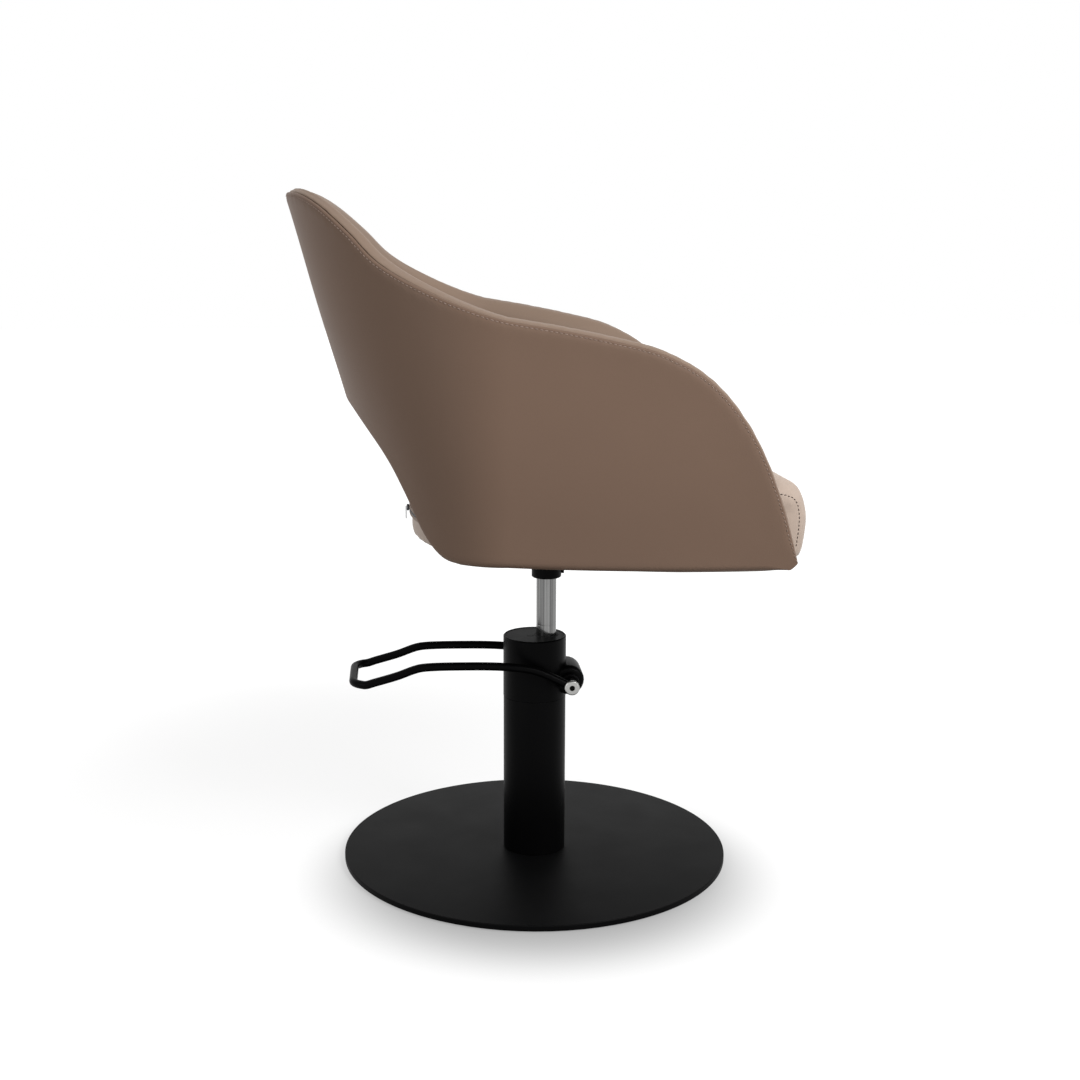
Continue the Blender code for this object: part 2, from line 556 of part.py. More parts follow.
def make_pump():
    """Head with its lever boss, cap, filler screw, ram cylinder, guide bush, wiper and barrel."""
    spigot_z = HEAD_Z0 - HEAD_SPIGOT_L
    seat_z = CAP_Z0 - GAP
    loop = [(CAP_SEAT_R, HEAD_Z1), (HEAD_R - HEAD_EDGE, HEAD_Z1), (HEAD_R, HEAD_Z1 - HEAD_EDGE),
            (HEAD_R, HEAD_Z0), (SPIGOT_R, HEAD_Z0), (SPIGOT_R, spigot_z),
            (HEAD_IN_R, spigot_z), (HEAD_IN_R, seat_z), (CAP_SEAT_R, seat_z)]
    head = turned("pump_head", loop, BLACK_COAT, sides=COLUMN_SIDES)
    end = []
    for i in range(5):
        angle = i / 4 * math.pi / 2
        end.append((BOSS_R - BOSS_ROUND + BOSS_ROUND * math.sin(angle),
                    BOSS_HALF_L - BOSS_ROUND + BOSS_ROUND * math.cos(angle)))
    other_end = [(r, -y) for r, y in reversed(end)]
    boss_loop = [(0.0, BOSS_HALF_L)] + end + other_end + [(0.0, -BOSS_HALF_L)]
    axle_place = (LEVER_AXLE_X, 0.0, AXLE_Z)
    boss = turned("join_boss", boss_loop, None, axle_place, "Y", SHAFT_SIDES)
    boolean(head, boss, "UNION")
    clear = turned("cut_head_bore", rod_loop(HEAD_IN_R, spigot_z - CUT, seat_z), None, sides=COLUMN_SIDES)
    boolean(head, clear, "DIFFERENCE")
    swing = FORK_HUB_R + GAP
    pocket = block("cut_fork_pocket",
                   (0.0, -FORK_HALF_W - LAYER_GAP, AXLE_Z - swing - FORK_TINE_H / 2),
                   (LEVER_AXLE_X + swing, FORK_HALF_W + LAYER_GAP, AXLE_Z + swing), None)
    boolean(head, pocket, "DIFFERENCE")
    bore(head, LEVER_AXLE_R + GAP, -BOSS_HALF_L - CUT, BOSS_HALF_L + CUT, axle_place, "Y", SHAFT_SIDES)

    cap = turned("pump_cap", rod_loop(CAP_SEAT_R - GAP, CAP_Z0, CAP_Z1, CAP_EDGE), BLACK_STEEL)
    ram_place = (RAM_OFFSET_X, 0.0, 0.0)
    bore(cap, BUSH_R + GAP, CAP_Z0 - CUT, CAP_Z1 + CUT, ram_place, sides=SHAFT_SIDES)
    filler_place = (FILLER_X, -FILLER_SIDE, 0.0)
    filler_z0 = CAP_Z1 - FILLER_HEAD_T
    bore(cap, FILLER_R + GAP, filler_z0 - GAP, CAP_Z1 + CUT, filler_place)
    bore(cap, FILLER_SHANK_R + GAP, CAP_Z0 - CUT, CAP_Z1, filler_place)
    filler = [(0.0, CAP_Z1), (FILLER_R, CAP_Z1), (FILLER_R, filler_z0), (FILLER_SHANK_R, filler_z0),
              (FILLER_SHANK_R, CAP_Z0), (0.0, CAP_Z0)]
    screw = turned("filler_screw", filler, BLACK_STEEL, filler_place, sides=FASTENER_SIDES)
    slot_z = CAP_Z1 - FILLER_HEAD_T / 2
    slot = block("cut_filler_slot",
                 (FILLER_X - FILLER_R - CUT, -FILLER_SIDE - FILLER_SLOT_W / 2, slot_z),
                 (FILLER_X + FILLER_R + CUT, -FILLER_SIDE + FILLER_SLOT_W / 2, CAP_Z1 + CUT), None)
    boolean(screw, slot, "DIFFERENCE")

    inner = RAM_R + RAM_RUN_GAP
    wiper_z0 = CAP_Z1 - WIPER_H
    turned("guide_bush", tube_loop(BUSH_R, inner, CAP_Z0, wiper_z0 - GAP), BRONZE,
           ram_place, sides=SHAFT_SIDES)
    turned("rod_wiper", tube_loop(BUSH_R, inner, wiper_z0, CAP_Z1 + WIPER_PROUD, CAP_EDGE), BLACK_RUBBER,
           ram_place, sides=SHAFT_SIDES)
    turned("ram_cylinder", tube_loop(CYLINDER_R, CYLINDER_BORE_R, BLOCK_Z1 + GAP, CAP_Z0 - GAP), GROUND_STEEL,
           ram_place, sides=SHAFT_SIDES)
    turned("pump_barrel", tube_loop(BARREL_R, BARREL_BORE_R, BARREL_Z0, BARREL_Z1, CAP_EDGE), CAST_ALLOY,
           (PLUNGER_X, 0.0, 0.0), sides=SHAFT_SIDES)
    for side, word in ((-1, "near"), (1, "far")):
        low, high = sorted((side * BUSH_Y0, side * BUSH_Y1))
        turned("axle_bush_" + word,
               tube_loop(AXLE_BUSH_R, LEVER_AXLE_R + GAP, low, high, AXLE_BUSH_EDGE), BLACK_STEEL,
               axle_place, "Y", SHAFT_SIDES)


# Foot lever, its axle and the plunger


def lever_path():
    """Centre line of the bent foot bar: out along one arm, across the back and in along the other."""
    way = np.array((-LEVER_ARM_PATH[0][0], LEVER_ARM_PATH[0][1]))
    start = way / np.linalg.norm(way) * (LEVER_HUB_R + GAP)
    arm = [tuple(start)]
    arm += [(-back, up) for back, up in LEVER_ARM_PATH]
    arm += [(ahead - LEVER_CROSS_BACK, up) for ahead, up in LEVER_TREAD_PATH]
    side = [(x, -ARM_Y, up) for x, up in arm]
    turn = LEVER_CORNER_R
    corner = []
    for i in range(1, 7):
        angle = i / 6 * math.pi / 2
        corner.append((turn - LEVER_CROSS_BACK - turn * math.sin(angle),
                       turn - ARM_Y - turn * math.cos(angle), LEVER_CROSS_RISE))
    half = smooth_curve(np.array(side + corner), 2)
    other = half[::-1] * np.array([1.0, -1.0, 1.0])
    return np.vstack([half, other]) + np.array([LEVER_AXLE_X, 0.0, AXLE_Z])


def make_lever():
    """Axle, rocker fork, bent foot bar, its two hubs and their bolts."""
    centre = (LEVER_AXLE_X, 0.0, AXLE_Z)
    turned("lever_axle", rod_loop(LEVER_AXLE_R, -HUB_Y1, HUB_Y1), GROUND_STEEL,
           centre, "Y", SHAFT_SIDES, LEVER_AXIS)
    for side, word in ((-1, "near"), (1, "far")):
        low, high = sorted((side * HUB_Y0, side * HUB_Y1))
        turned("lever_hub_" + word, tube_loop(LEVER_HUB_R, LEVER_AXLE_R + GAP, low, high), BLACK_COAT,
               centre, "Y", SHAFT_SIDES, LEVER_AXIS)
        face = HUB_Y1 + GAP
        top = face + LEVER_BOLT_T
        floor = top - LEVER_SOCKET_DEPTH
        loop = [(0.0, floor), (LEVER_SOCKET_R, floor), (LEVER_SOCKET_R, top),
                (LEVER_BOLT_R - LEVER_BOLT_EDGE, top), (LEVER_BOLT_R, top - LEVER_BOLT_EDGE),
                (LEVER_BOLT_R, face), (0.0, face)]
        turned("lever_bolt_" + word, [(r, side * y) for r, y in loop], BRIGHT_STEEL,
               centre, "Y", SHAFT_SIDES, LEVER_AXIS)
    swept("lever_bar", lever_path(), LEVER_BAR_R, BLACK_COAT, LEVER_AXIS)

    fork = turned("rocker_fork", tube_loop(FORK_HUB_R, LEVER_AXLE_R + GAP, -FORK_HALF_W, FORK_HALF_W),
                  GROUND_STEEL, centre, "Y", SHAFT_SIDES, LEVER_AXIS)
    for side, word in ((-1, "near"), (1, "far")):
        low, high = sorted((side * FORK_TINE_IN, side * FORK_HALF_W))
        tine = block("join_tine_" + word, (PLUNGER_X, low, AXLE_Z - FORK_TINE_H / 2),
                     (LEVER_AXLE_X - LEVER_AXLE_R - CUT, high, AXLE_Z + FORK_TINE_H / 2), None, LEVER_AXIS)
        boolean(fork, tine, "UNION")
    bridge = turned("join_bridge", rod_loop(FORK_BRIDGE_R, -FORK_HALF_W, FORK_HALF_W), None,
                    (PLUNGER_X, 0.0, AXLE_Z), "Y", FASTENER_SIDES, LEVER_AXIS)
    boolean(fork, bridge, "UNION")


def make_plunger():
    """Plunger under the fork's bridge, and its return spring on the barrel."""
    place = (PLUNGER_X, 0.0, 0.0)
    tip_z = PLUNGER_Z1 - PLUNGER_L
    loop = [(0.0, PLUNGER_Z1), (PLUNGER_HEAD_R, PLUNGER_Z1), (PLUNGER_HEAD_R, PLUNGER_HEAD_Z0),
            (PLUNGER_R, PLUNGER_HEAD_Z0), (PLUNGER_R, tip_z), (0.0, tip_z)]
    turned("pump_plunger", loop, GROUND_STEEL, place, sides=SHAFT_SIDES, parent=PLUNGER_AXIS)
    low = BARREL_Z1 + GAP + SPRING_WIRE_R
    high = PLUNGER_HEAD_Z0 - GAP - SPRING_WIRE_R
    coil_r = (PLUNGER_R + GAP + SPRING_WIRE_R) / math.cos(math.pi / SPRING_TURN_STEPS)
    steps = SPRING_TURNS * SPRING_TURN_STEPS
    turn = np.linspace(0.0, SPRING_TURNS * 2 * math.pi, steps + 1)
    coil = np.stack([PLUNGER_X + coil_r * np.cos(turn), coil_r * np.sin(turn),
                     low + (high - low) * turn / turn[-1]], -1)
    swept("plunger_spring", coil, SPRING_WIRE_R, GROUND_STEEL, PLUNGER_AXIS, 6)
    apart = np.linalg.norm(coil[:, None] - coil[None], axis=-1)
    neighbour = np.abs(np.subtract.outer(turn, turn)) < math.pi
    least = apart[~neighbour].min() - 2 * SPRING_WIRE_R
    print("plunger_spring's least gap to itself:", round(least * 1000, 2), "mm")


def make_ram():
    """Piston with its seal, and the rod that carries the seat."""
    place = (RAM_OFFSET_X, 0.0, 0.0)
    mid = (PISTON_Z0 + PISTON_Z1) / 2
    groove_r = PISTON_R - PISTON_SEAL_DEPTH
    half = PISTON_SEAL_H / 2
    loop = [(0.0, PISTON_Z1), (PISTON_R, PISTON_Z1), (PISTON_R, mid + half), (groove_r, mid + half),
            (groove_r, mid - half), (PISTON_R, mid - half), (PISTON_R, PISTON_Z0), (0.0, PISTON_Z0)]
    turned("piston_head", loop, GROUND_STEEL, place, sides=SHAFT_SIDES, parent=RAM_AXIS)
    turned("piston_seal", tube_loop(PISTON_R + GAP / 2, groove_r + GAP, mid - half + GAP, mid + half - GAP),
           BLACK_RUBBER, place, sides=SHAFT_SIDES, parent=RAM_AXIS)
    turned("ram_rod", rod_loop(RAM_R, PISTON_Z1 + GAP, RAM_Z1 - GAP, CAP_EDGE), GROUND_STEEL, place,
           sides=SHAFT_SIDES, parent=SEAT_AXIS)


# Tub: one outer surface, with its layers at depths inside it


def rear_axis(z):
    """Half axis of the plan ellipse, from the turn to the leaning back."""
    return TUB_REAR_REACH - TUB_LEAN * (TUB_REAR_Z - z)


def half_width(z):
    """Half width of the tub: drawn in towards the bottom in a full curve."""
    share = np.clip((z - TUB_BOTTOM_Z) / (TUB_WIDE_Z - TUB_BOTTOM_Z), 0.0, 1.0)
    return TUB_BOTTOM_HALF_W + (TUB_HALF_W - TUB_BOTTOM_HALF_W) * (1 - (1 - share) ** TUB_FULLNESS)


def tub_face(run, z):
    """Outer face at a run round the plan from the rear centre, near side negative, and a height."""
    angle = math.pi / 2 * np.clip(run / TUB_QUARTER_RUN, -1.0, 1.0)
    ahead = np.maximum(np.abs(run) - TUB_QUARTER_RUN, 0.0)
    x = TUB_TURN_X - rear_axis(z) * np.cos(angle) + ahead
    return np.stack([x, half_width(z) * np.sin(angle), z], -1)


def tub_normal(run, z):
    """Unit normal of the outer face, pointing out."""
    step = 0.0005
    by_run = tub_face(run + step, z) - tub_face(run - step, z)
    by_z = tub_face(run, z + step) - tub_face(run, z - step)
    normal = np.cross(by_z, by_run)
    return normal / np.linalg.norm(normal, axis=-1)[..., None]


def tub_point(run, z, depth):
    """The outer face's point, moved in by a depth along the face's normal."""
    return tub_face(run, z) - tub_normal(run, z) * np.asarray(depth)[..., None]


def round_run(degrees):
    """Run from the rear centre at an angle round the plan ellipse."""
    return degrees / 90.0 * TUB_QUARTER_RUN


def arm_run(x):
    """Run from the rear centre at a place along the straight side."""
    return TUB_QUARTER_RUN + x - TUB_TURN_X


RIM_CURVE = smooth_curve([(arm_run(TUB_FRONT_X - back), BOARD_Z0 + up) for back, up in RIM_ALONG_ARM]
                         + [(round_run(turn), BOARD_Z0 + up) for turn, up in RIM_ROUND_BACK])
ARCH_CURVE = smooth_curve([(round_run(turn), BOARD_Z0 + up) for turn, up in ARCH_ROUND_BACK])
BOTTOM_FRONT_RUN = arm_run(TUB_FRONT_X) - TUB_CORNER_CUT


def bottom_height(run):
    """Height of the tub's lower edge: a slight belly along the side, and the arch behind."""
    x = TUB_TURN_X + np.maximum(run - TUB_QUARTER_RUN, 0.0)
    belly = TUB_BOTTOM_Z + TUB_BELLY * ((TUB_BELLY_X - x) / TUB_BELLY_SPAN) ** 2
    arch = np.interp(run, ARCH_CURVE[:, 0], ARCH_CURVE[:, 1])
    return np.where(run < ARCH_CURVE[-1, 0], np.maximum(arch, belly), belly)


def wall_columns():
    """Rim and bottom points of the wall's columns, from the near front corner round to the far one."""
    share = np.linspace(0.0, 1.0, RIM_STEPS + 1)
    rim = along_curve(RIM_CURVE, share)
    bottom_run = BOTTOM_FRONT_RUN * (1 - share)
    bottom = np.stack([bottom_run, bottom_height(bottom_run)], -1)
    tangent = np.gradient(rim, axis=0)
    tangent[-1] = (-1.0, 0.0)
    tangent /= np.linalg.norm(tangent, axis=1)[:, None]
    outward = np.stack([tangent[:, 1], -tangent[:, 0]], -1)
    return share, rim, bottom, outward


def both_sides(half):
    """A half-tub array of (station, ring, run-height) made whole, near side first."""
    near = half.copy()
    near[..., 0] *= -1.0
    return np.concatenate([near, half[::-1][1:]])


def wall_piece(name, half, depth, look):
    """A closed wall from rings of (run, height) with their depths, swept from corner to corner."""
    whole = both_sides(half)
    deep = np.concatenate([depth, depth[::-1][1:]])
    points = tub_point(whole[..., 0], whole[..., 1], deep)
    stations, ring = deep.shape
    index = np.arange(stations * ring).reshape(stations, ring)
    faces = [index[0].tolist(), index[-1][::-1].tolist()]
    for i in range(stations - 1):
        for j in range(ring):
            k = (j + 1) % ring
            faces.append([index[i, j], index[i, k], index[i + 1, k], index[i + 1, j]])
    return add_piece(name, points.reshape(-1, 3), faces, look, SEAT_AXIS, 40.0)


def spread(start, end, shares):
    """Points between two rows of points, at a row of shares each."""
    return start[:, None, :] + (end - start)[:, None, :] * shares[..., None]


def wall_layer(name, start, end, rows, outer, inner, look):
    """An even layer of the wall, between two depths and two lines of points."""
    stations = len(start)
    even = np.tile(np.linspace(0.0, 1.0, rows), (stations, 1))
    face = spread(start, end, even)
    depth = np.tile([outer] * rows + [inner] * rows, (stations, 1))
    wall_piece(name, np.concatenate([face, face[:, ::-1]], axis=1), depth, look)


def make_tub():
    """Outer cover, inner frame and the pad that hooks over the frame's rim."""
    share, rim, bottom, outward = wall_columns()
    length = np.linalg.norm(rim - bottom, axis=1)
    hook = np.minimum(PAD_HOOK, length / 4)
    wall_layer("outer_cover", bottom, rim, COVER_ROWS, 0.0, COVER_T, OUTER_VINYL)
    frame_top = bottom + (rim - bottom) * (1 - (hook + LAYER_GAP) / length)[:, None]
    wall_layer("tub_frame", bottom, frame_top, FRAME_ROWS, FRAME_OUT_D, FRAME_IN_D, PLYWOOD)

    # The pad's foot is above the board and its brackets, and comes down to the tub's edge ahead of them
    bottom_x = TUB_TURN_X + np.maximum(bottom[:, 0] - TUB_QUARTER_RUN, 0.0)
    lifted = np.clip((BOARD_NOTCH_X - bottom_x) / (PAD_BOTTOM_Z - BOARD_Z1) + 1.0, 0.0, 1.0)
    lift_z = np.maximum(PAD_BOTTOM_Z - bottom[:, 1], 0.0) * lifted
    start = bottom + (rim - bottom) * (lift_z / (rim[:, 1] - bottom[:, 1]))[:, None]
    left = np.linalg.norm(rim - start, axis=1)
    span = np.maximum(left, PAD_FULL_L)

    # Its section: thicker towards the back, round at the foot and the top, and hooked over the frame
    blend = np.clip(2 * share - 0.9, 0.0, 1.0)
    thick = PAD_ARM_T + (PAD_BACK_T - PAD_ARM_T) * blend ** 2 * (3 - 2 * blend)
    inside = thick - PAD_OUT_D
    zero = np.zeros_like(share)
    one = np.ones_like(share)
    low = PAD_FOOT_ROUND / span
    high = 1 - PAD_TOP_ROUND / span
    third = low + (high - low) / 3
    two_third = low + (high - low) * 2 / 3
    shoulder = 1 - PAD_SHOULDER / span
    hooked = 1 - hook / left
    lining = PAD_OUT_D * one
    seam = FRAME_OUT_D * one
    rows = [(zero, PAD_OUT_D + inside / 2, 0.0, 0.0), (low, PAD_OUT_D + inside * 0.85, 0.0, 0.0),
            (third, thick + PAD_SWELL, 0.0, 0.0), (two_third, thick + PAD_SWELL, 0.0, 0.0),
            (high, thick, 0.0, 0.6), (shoulder, thick - PAD_SHOULDER, 0.0, 1.0),
            (one, thick - PAD_RIM_ROUND, 0.75, 1.0), (one, thick / 2, 1.0, 1.0),
            (one, PAD_RIM_EDGE * one, 0.7, 1.0), (one, seam, 0.0, 0.0), (hooked, seam, 0.0, 0.0),
            (hooked, lining, 0.0, 0.0), (two_third, lining, 0.0, 0.0), (third, lining, 0.0, 0.0),
            (zero, lining, 0.0, 0.0)]
    shares = np.stack([row[0] for row in rows], 1)
    depth = np.stack([row[1] for row in rows], 1)
    crown = PAD_CROWN * np.array([row[2] for row in rows])
    level = np.array([row[3] for row in rows])
    tilt = tub_normal(rim[:, 0], rim[:, 1])[:, 2] - PAD_TOP_SLOPE
    rise = crown + level * tilt[:, None] * (depth - COVER_T)
    pad = spread(start, rim, shares) + outward[:, None, :] * rise[..., None]
    wall_piece("inner_pad", pad, depth, INNER_VINYL)


# Seat: socket, plate, board, brackets and dust cover


def side_line(z, depth, first_x, last_x, count=14):
    """Places along the near inner side of the tub at a height and depth, from rear to front."""
    run = np.linspace(-0.02, -arm_run(last_x), 160)
    line = tub_point(run, np.full_like(run, z), np.full_like(run, depth))
    x = np.linspace(first_x, last_x, count)
    return [(a, np.interp(a, line[:, 0], -line[:, 1])) for a in x]


def board_outline(inset):
    """Outline of the seat board, drawn in by an inset: wide between the sides, a tongue in front."""
    side = side_line(BOARD_Z0, PAD_OUT_D + inset, BOARD_REAR_X + inset, BOARD_NOTCH_X - inset)
    tongue = BOARD_TONGUE_W - inset
    front = BOARD_FRONT_X - inset
    near = [(x, -y) for x, y in side] + [(BOARD_NOTCH_X - inset, -tongue), (front, -tongue)]
    far = [(x, -y) for x, y in reversed(near)]
    return near + far


def make_bracket(number, x, side, half_w, board):
    """An angle bracket in the corner of board and frame at one side, and its screw into the board."""
    low = BRACKET_Z0
    leg = [(half_w, low), (half_w, low + BRACKET_H), (half_w - BRACKET_T, low + BRACKET_H),
           (half_w - BRACKET_T, low + BRACKET_T), (half_w - BRACKET_LEG, low + BRACKET_T),
           (half_w - BRACKET_LEG, low)]
    points = [(end, side * y, z) for end in (x - BRACKET_L / 2, x + BRACKET_L / 2) for y, z in leg]
    count = len(leg)
    faces = [list(range(count)), list(range(2 * count - 1, count - 1, -1))]
    faces += [[i, (i + 1) % count, count + (i + 1) % count, count + i] for i in range(count)]
    bracket = add_piece("frame_bracket_" + str(number), points, faces, BRIGHT_STEEL, SEAT_AXIS)
    spot = (x, side * (half_w - (BRACKET_T + BRACKET_LEG) / 2), 0.0)
    head_z0 = low + BRACKET_T + GAP
    head_z1 = head_z0 + BRACKET_SCREW_HEAD_H
    tip_z = BOARD_Z0 + BOARD_T / 3
    loop = [(0.0, head_z1), (BRACKET_SCREW_HEAD_R, head_z1), (BRACKET_SCREW_HEAD_R, head_z0),
            (BRACKET_SCREW_R, head_z0), (BRACKET_SCREW_R, tip_z), (0.0, tip_z)]
    turned("bracket_screw_" + str(number), loop, BRIGHT_STEEL, spot, "Z", FASTENER_SIDES, SEAT_AXIS)
    bore(bracket, BRACKET_SCREW_R + GAP, low - CUT, head_z0 + CUT, spot)
    bore(board, BRACKET_SCREW_R + GAP, tip_z - GAP, BOARD_Z1 + CUT, spot)


def make_seat_mount():
    """Socket on the rod with its screw, seat plate and bolts, board, dust cover, brackets and screws."""
    place = (RAM_OFFSET_X, 0.0, 0.0)
    bore_r = RAM_R + GAP
    loop = [(0.0, SOCKET_Z1), (SOCKET_R, SOCKET_Z1), (SOCKET_R, SOCKET_Z0 + SOCKET_EDGE),
            (SOCKET_R - SOCKET_EDGE, SOCKET_Z0), (bore_r, SOCKET_Z0), (bore_r, RAM_Z1), (0.0, RAM_Z1)]
    socket = turned("seat_socket", loop, BLACK_COAT, place, sides=COLUMN_SIDES, parent=SEAT_AXIS)
    screw_place = (RAM_OFFSET_X, 0.0, SOCKET_Z0 + SOCKET_SCREW_UP)
    bore(socket, SOCKET_SCREW_R + GAP, RAM_R, SOCKET_R + CUT, screw_place, "X")
    head_x = SOCKET_R + GAP
    screw = [(0.0, head_x + SOCKET_SCREW_HEAD_L), (SOCKET_SCREW_HEAD_R, head_x + SOCKET_SCREW_HEAD_L),
             (SOCKET_SCREW_HEAD_R, head_x), (SOCKET_SCREW_R, head_x), (SOCKET_SCREW_R, bore_r), (0.0, bore_r)]
    turned("socket_screw", screw, BLACK_STEEL, screw_place, "X", FASTENER_SIDES, SEAT_AXIS)

    plate = slab("seat_plate", rounded_square(SEAT_PLATE_W, SEAT_PLATE_CORNER_R, RAM_OFFSET_X),
                 SEAT_PLATE_Z0, SEAT_PLATE_Z1, BLACK_COAT, SEAT_AXIS)
    board = slab("seat_board", board_outline(0.0), BOARD_Z0, BOARD_Z1, PLYWOOD, SEAT_AXIS)
    cloth_z1 = BOARD_Z0 - GAP
    cloth = slab("dust_cover", board_outline(DUST_COVER_INSET), cloth_z1 - DUST_COVER_T, cloth_z1,
                 DUST_CLOTH, SEAT_AXIS)
    window_outline = rounded_square(SEAT_PLATE_W + 2 * LAYER_GAP, SEAT_PLATE_CORNER_R, RAM_OFFSET_X)
    window = slab("cut_dust_window", window_outline, SEAT_PLATE_Z0 - CUT, BOARD_Z0, None, SEAT_AXIS)
    boolean(cloth, window, "DIFFERENCE")
    bolt_z1 = SEAT_PLATE_Z0 - GAP
    for i, (x, y) in enumerate(corner_places(SEAT_PLATE_W / 2 - PLATE_BOLT_INSET, RAM_OFFSET_X)):
        loop = [(0.0, BOARD_Z1 - CUT), (PLATE_BOLT_R, BOARD_Z1 - CUT), (PLATE_BOLT_R, bolt_z1),
                (PLATE_BOLT_HEAD_R, bolt_z1), (PLATE_BOLT_HEAD_R, bolt_z1 - PLATE_BOLT_HEAD_H),
                (0.0, bolt_z1 - PLATE_BOLT_HEAD_H)]
        turned("plate_bolt_" + str(i + 1), loop, BRIGHT_STEEL, (x, y, 0.0), "Z", FASTENER_SIDES, SEAT_AXIS)
        bore(plate, PLATE_BOLT_R + GAP, SEAT_PLATE_Z0 - CUT, SEAT_PLATE_Z1 + CUT, (x, y, 0.0))
        bore(board, PLATE_BOLT_R + GAP, BOARD_Z0 - CUT, BOARD_Z1 + CUT, (x, y, 0.0))

    number = 0
    for x, half_w in side_line(BOARD_Z1, PAD_OUT_D, BRACKET_REAR_X, BRACKET_FRONT_X, 2):
        for side in (-1, 1):
            number += 1
            make_bracket(number, x, side, half_w, board)


# Seat cushion and its zip


def cushion_edge(turn, inset):
    """Plan outline of the cushion, drawn in by an inset, for turn from 0 at the front centre to 8.

    Each side has four stretches: half the front, a corner arc, the straight side and a rear ellipse.
    """
    wide = CUSHION_HALF_W - inset
    rear = CUSHION_REAR_A - inset
    front = CUSHION_FRONT_X - inset
    corner = CUSHION_CORNER_R - inset
    part = np.minimum(turn, 8.0 - turn)
    arc = np.clip(part - 1.0, 0.0, 1.0) * math.pi / 2
    sweep = np.clip(part - 3.0, 0.0, 1.0) * math.pi / 2
    back = np.clip(part - 2.0, 0.0, 1.0)
    straight_x = front - corner + (CUSHION_TURN_X - front + corner) * back
    x = np.where(part < 2.0, front - corner + corner * np.cos(arc), straight_x - rear * np.sin(sweep))
    y_front = (wide - corner) * np.clip(part, 0.0, 1.0) + corner * np.sin(arc)
    y = np.where(part < 2.0, y_front, wide * np.cos(sweep))
    return x, y * np.where(turn <= 4.0, 1.0, -1.0)


def cushion_turns():
    """Turns round the cushion at even steps along its outline."""
    share = np.arange(CUSHION_SIDES) / CUSHION_SIDES
    dense = np.linspace(0.0, 8.0, 2001)
    x, y = cushion_edge(dense, 0.0)
    length = np.concatenate([[0.0], np.cumsum(np.hypot(np.diff(x), np.diff(y)))])
    return np.interp(share * length[-1], length, dense)


def make_cushion():
    """Crowned cushion with drawn-in sides, and a lip over the board's front and rear edges."""
    turn = cushion_turns()
    edge_x, edge_y = cushion_edge(turn, 0.0)
    middle_x = (CUSHION_FRONT_X + CUSHION_REAR_X) / 2
    inner_x, _ = cushion_edge(turn, CUSHION_LIP_T)
    step = np.hypot(edge_x - np.roll(edge_x, 1), edge_y - np.roll(edge_y, 1)).max()
    in_front = np.clip((edge_x - BOARD_NOTCH_X - step) / CUSHION_LIP_T, 0.0, 1.0)
    behind = np.clip((BOARD_REAR_X - step / 2 - inner_x) / CUSHION_LIP_T * 3, 0.0, 1.0)
    flat = np.full_like(turn, 1.0)
    lip_z = CUSHION_Z0 - CUSHION_LIP_DROP * np.maximum(in_front, behind)
    top = CUSHION_Z1
    edge = CUSHION_EDGE
    rings = [(edge, top * flat), (edge * 0.45, (top - edge * 0.22) * flat),
             (edge * 0.10, (top - edge * 0.65) * flat), (0.0, (top - edge * 1.2) * flat),
             (CUSHION_DRAW_IN, CUSHION_WAIST_Z * flat), (CUSHION_HEM_IN, lip_z + CUSHION_HEM),
             (edge * 0.3, lip_z), (CUSHION_LIP_T, lip_z)]
    points = []
    for inset, height in rings:
        x, y = cushion_edge(turn, inset)
        points.append(np.stack([x, y, height], -1))
    x, y = cushion_edge(turn, CUSHION_LIP_T)
    for scale in (1.0, 0.62, 0.28):
        points.append(np.stack([middle_x + (x - middle_x) * scale, y * scale, CUSHION_Z0 * flat], -1))
    x, y = cushion_edge(turn, edge)
    crown = []
    for scale, rise in ((0.28, 0.94), (0.55, 0.74), (0.8, 0.38)):
        height = (top + CUSHION_CROWN * rise) * flat
        crown.append(np.stack([middle_x + (x - middle_x) * scale, y * scale, height], -1))
    bottom_pole = np.array([[middle_x, 0.0, CUSHION_Z0]])
    top_pole = np.array([[middle_x, 0.0, top + CUSHION_CROWN]])
    ordered = crown + points
    count = CUSHION_SIDES
    grid = np.vstack(ordered + [top_pole, bottom_pole])
    last = len(ordered) * count
    faces = []
    for i in range(count):
        k = (i + 1) % count
        faces.append([last, i, k])
        for j in range(len(ordered) - 1):
            faces.append([j * count + i, (j + 1) * count + i, (j + 1) * count + k, j * count + k])
        faces.append([last + 1, (len(ordered) - 1) * count + k, (len(ordered) - 1) * count + i])
    add_piece("seat_cushion", grid, faces, SEAT_VINYL, SEAT_AXIS, 60.0)


def arc_strip(name, inner, outer, low, high, half_length, look, parent, steps=24):
    """A strip bent round the zip's centre, between two radii and two heights."""
    reach = half_length / ZIP_ARC_R
    angle = math.pi + np.linspace(-reach, reach, steps + 1)
    ring = []
    for radius, z in ((inner, low), (outer, low), (outer, high), (inner, high)):
        ring.append(np.stack([ZIP_CENTRE_X + radius * np.cos(angle), radius * np.sin(angle),
                              np.full_like(angle, z)], -1))
    points = np.stack(ring, 1)
    index = np.arange((steps + 1) * 4).reshape(steps + 1, 4)
    faces = [index[0].tolist(), index[-1][::-1].tolist()]
    for i in range(steps):
        for j in range(4):
            k = (j + 1) % 4
            faces.append([index[i, j], index[i, k], index[i + 1, k], index[i + 1, j]])
    return add_piece(name, points.reshape(-1, 3), faces, look, parent)


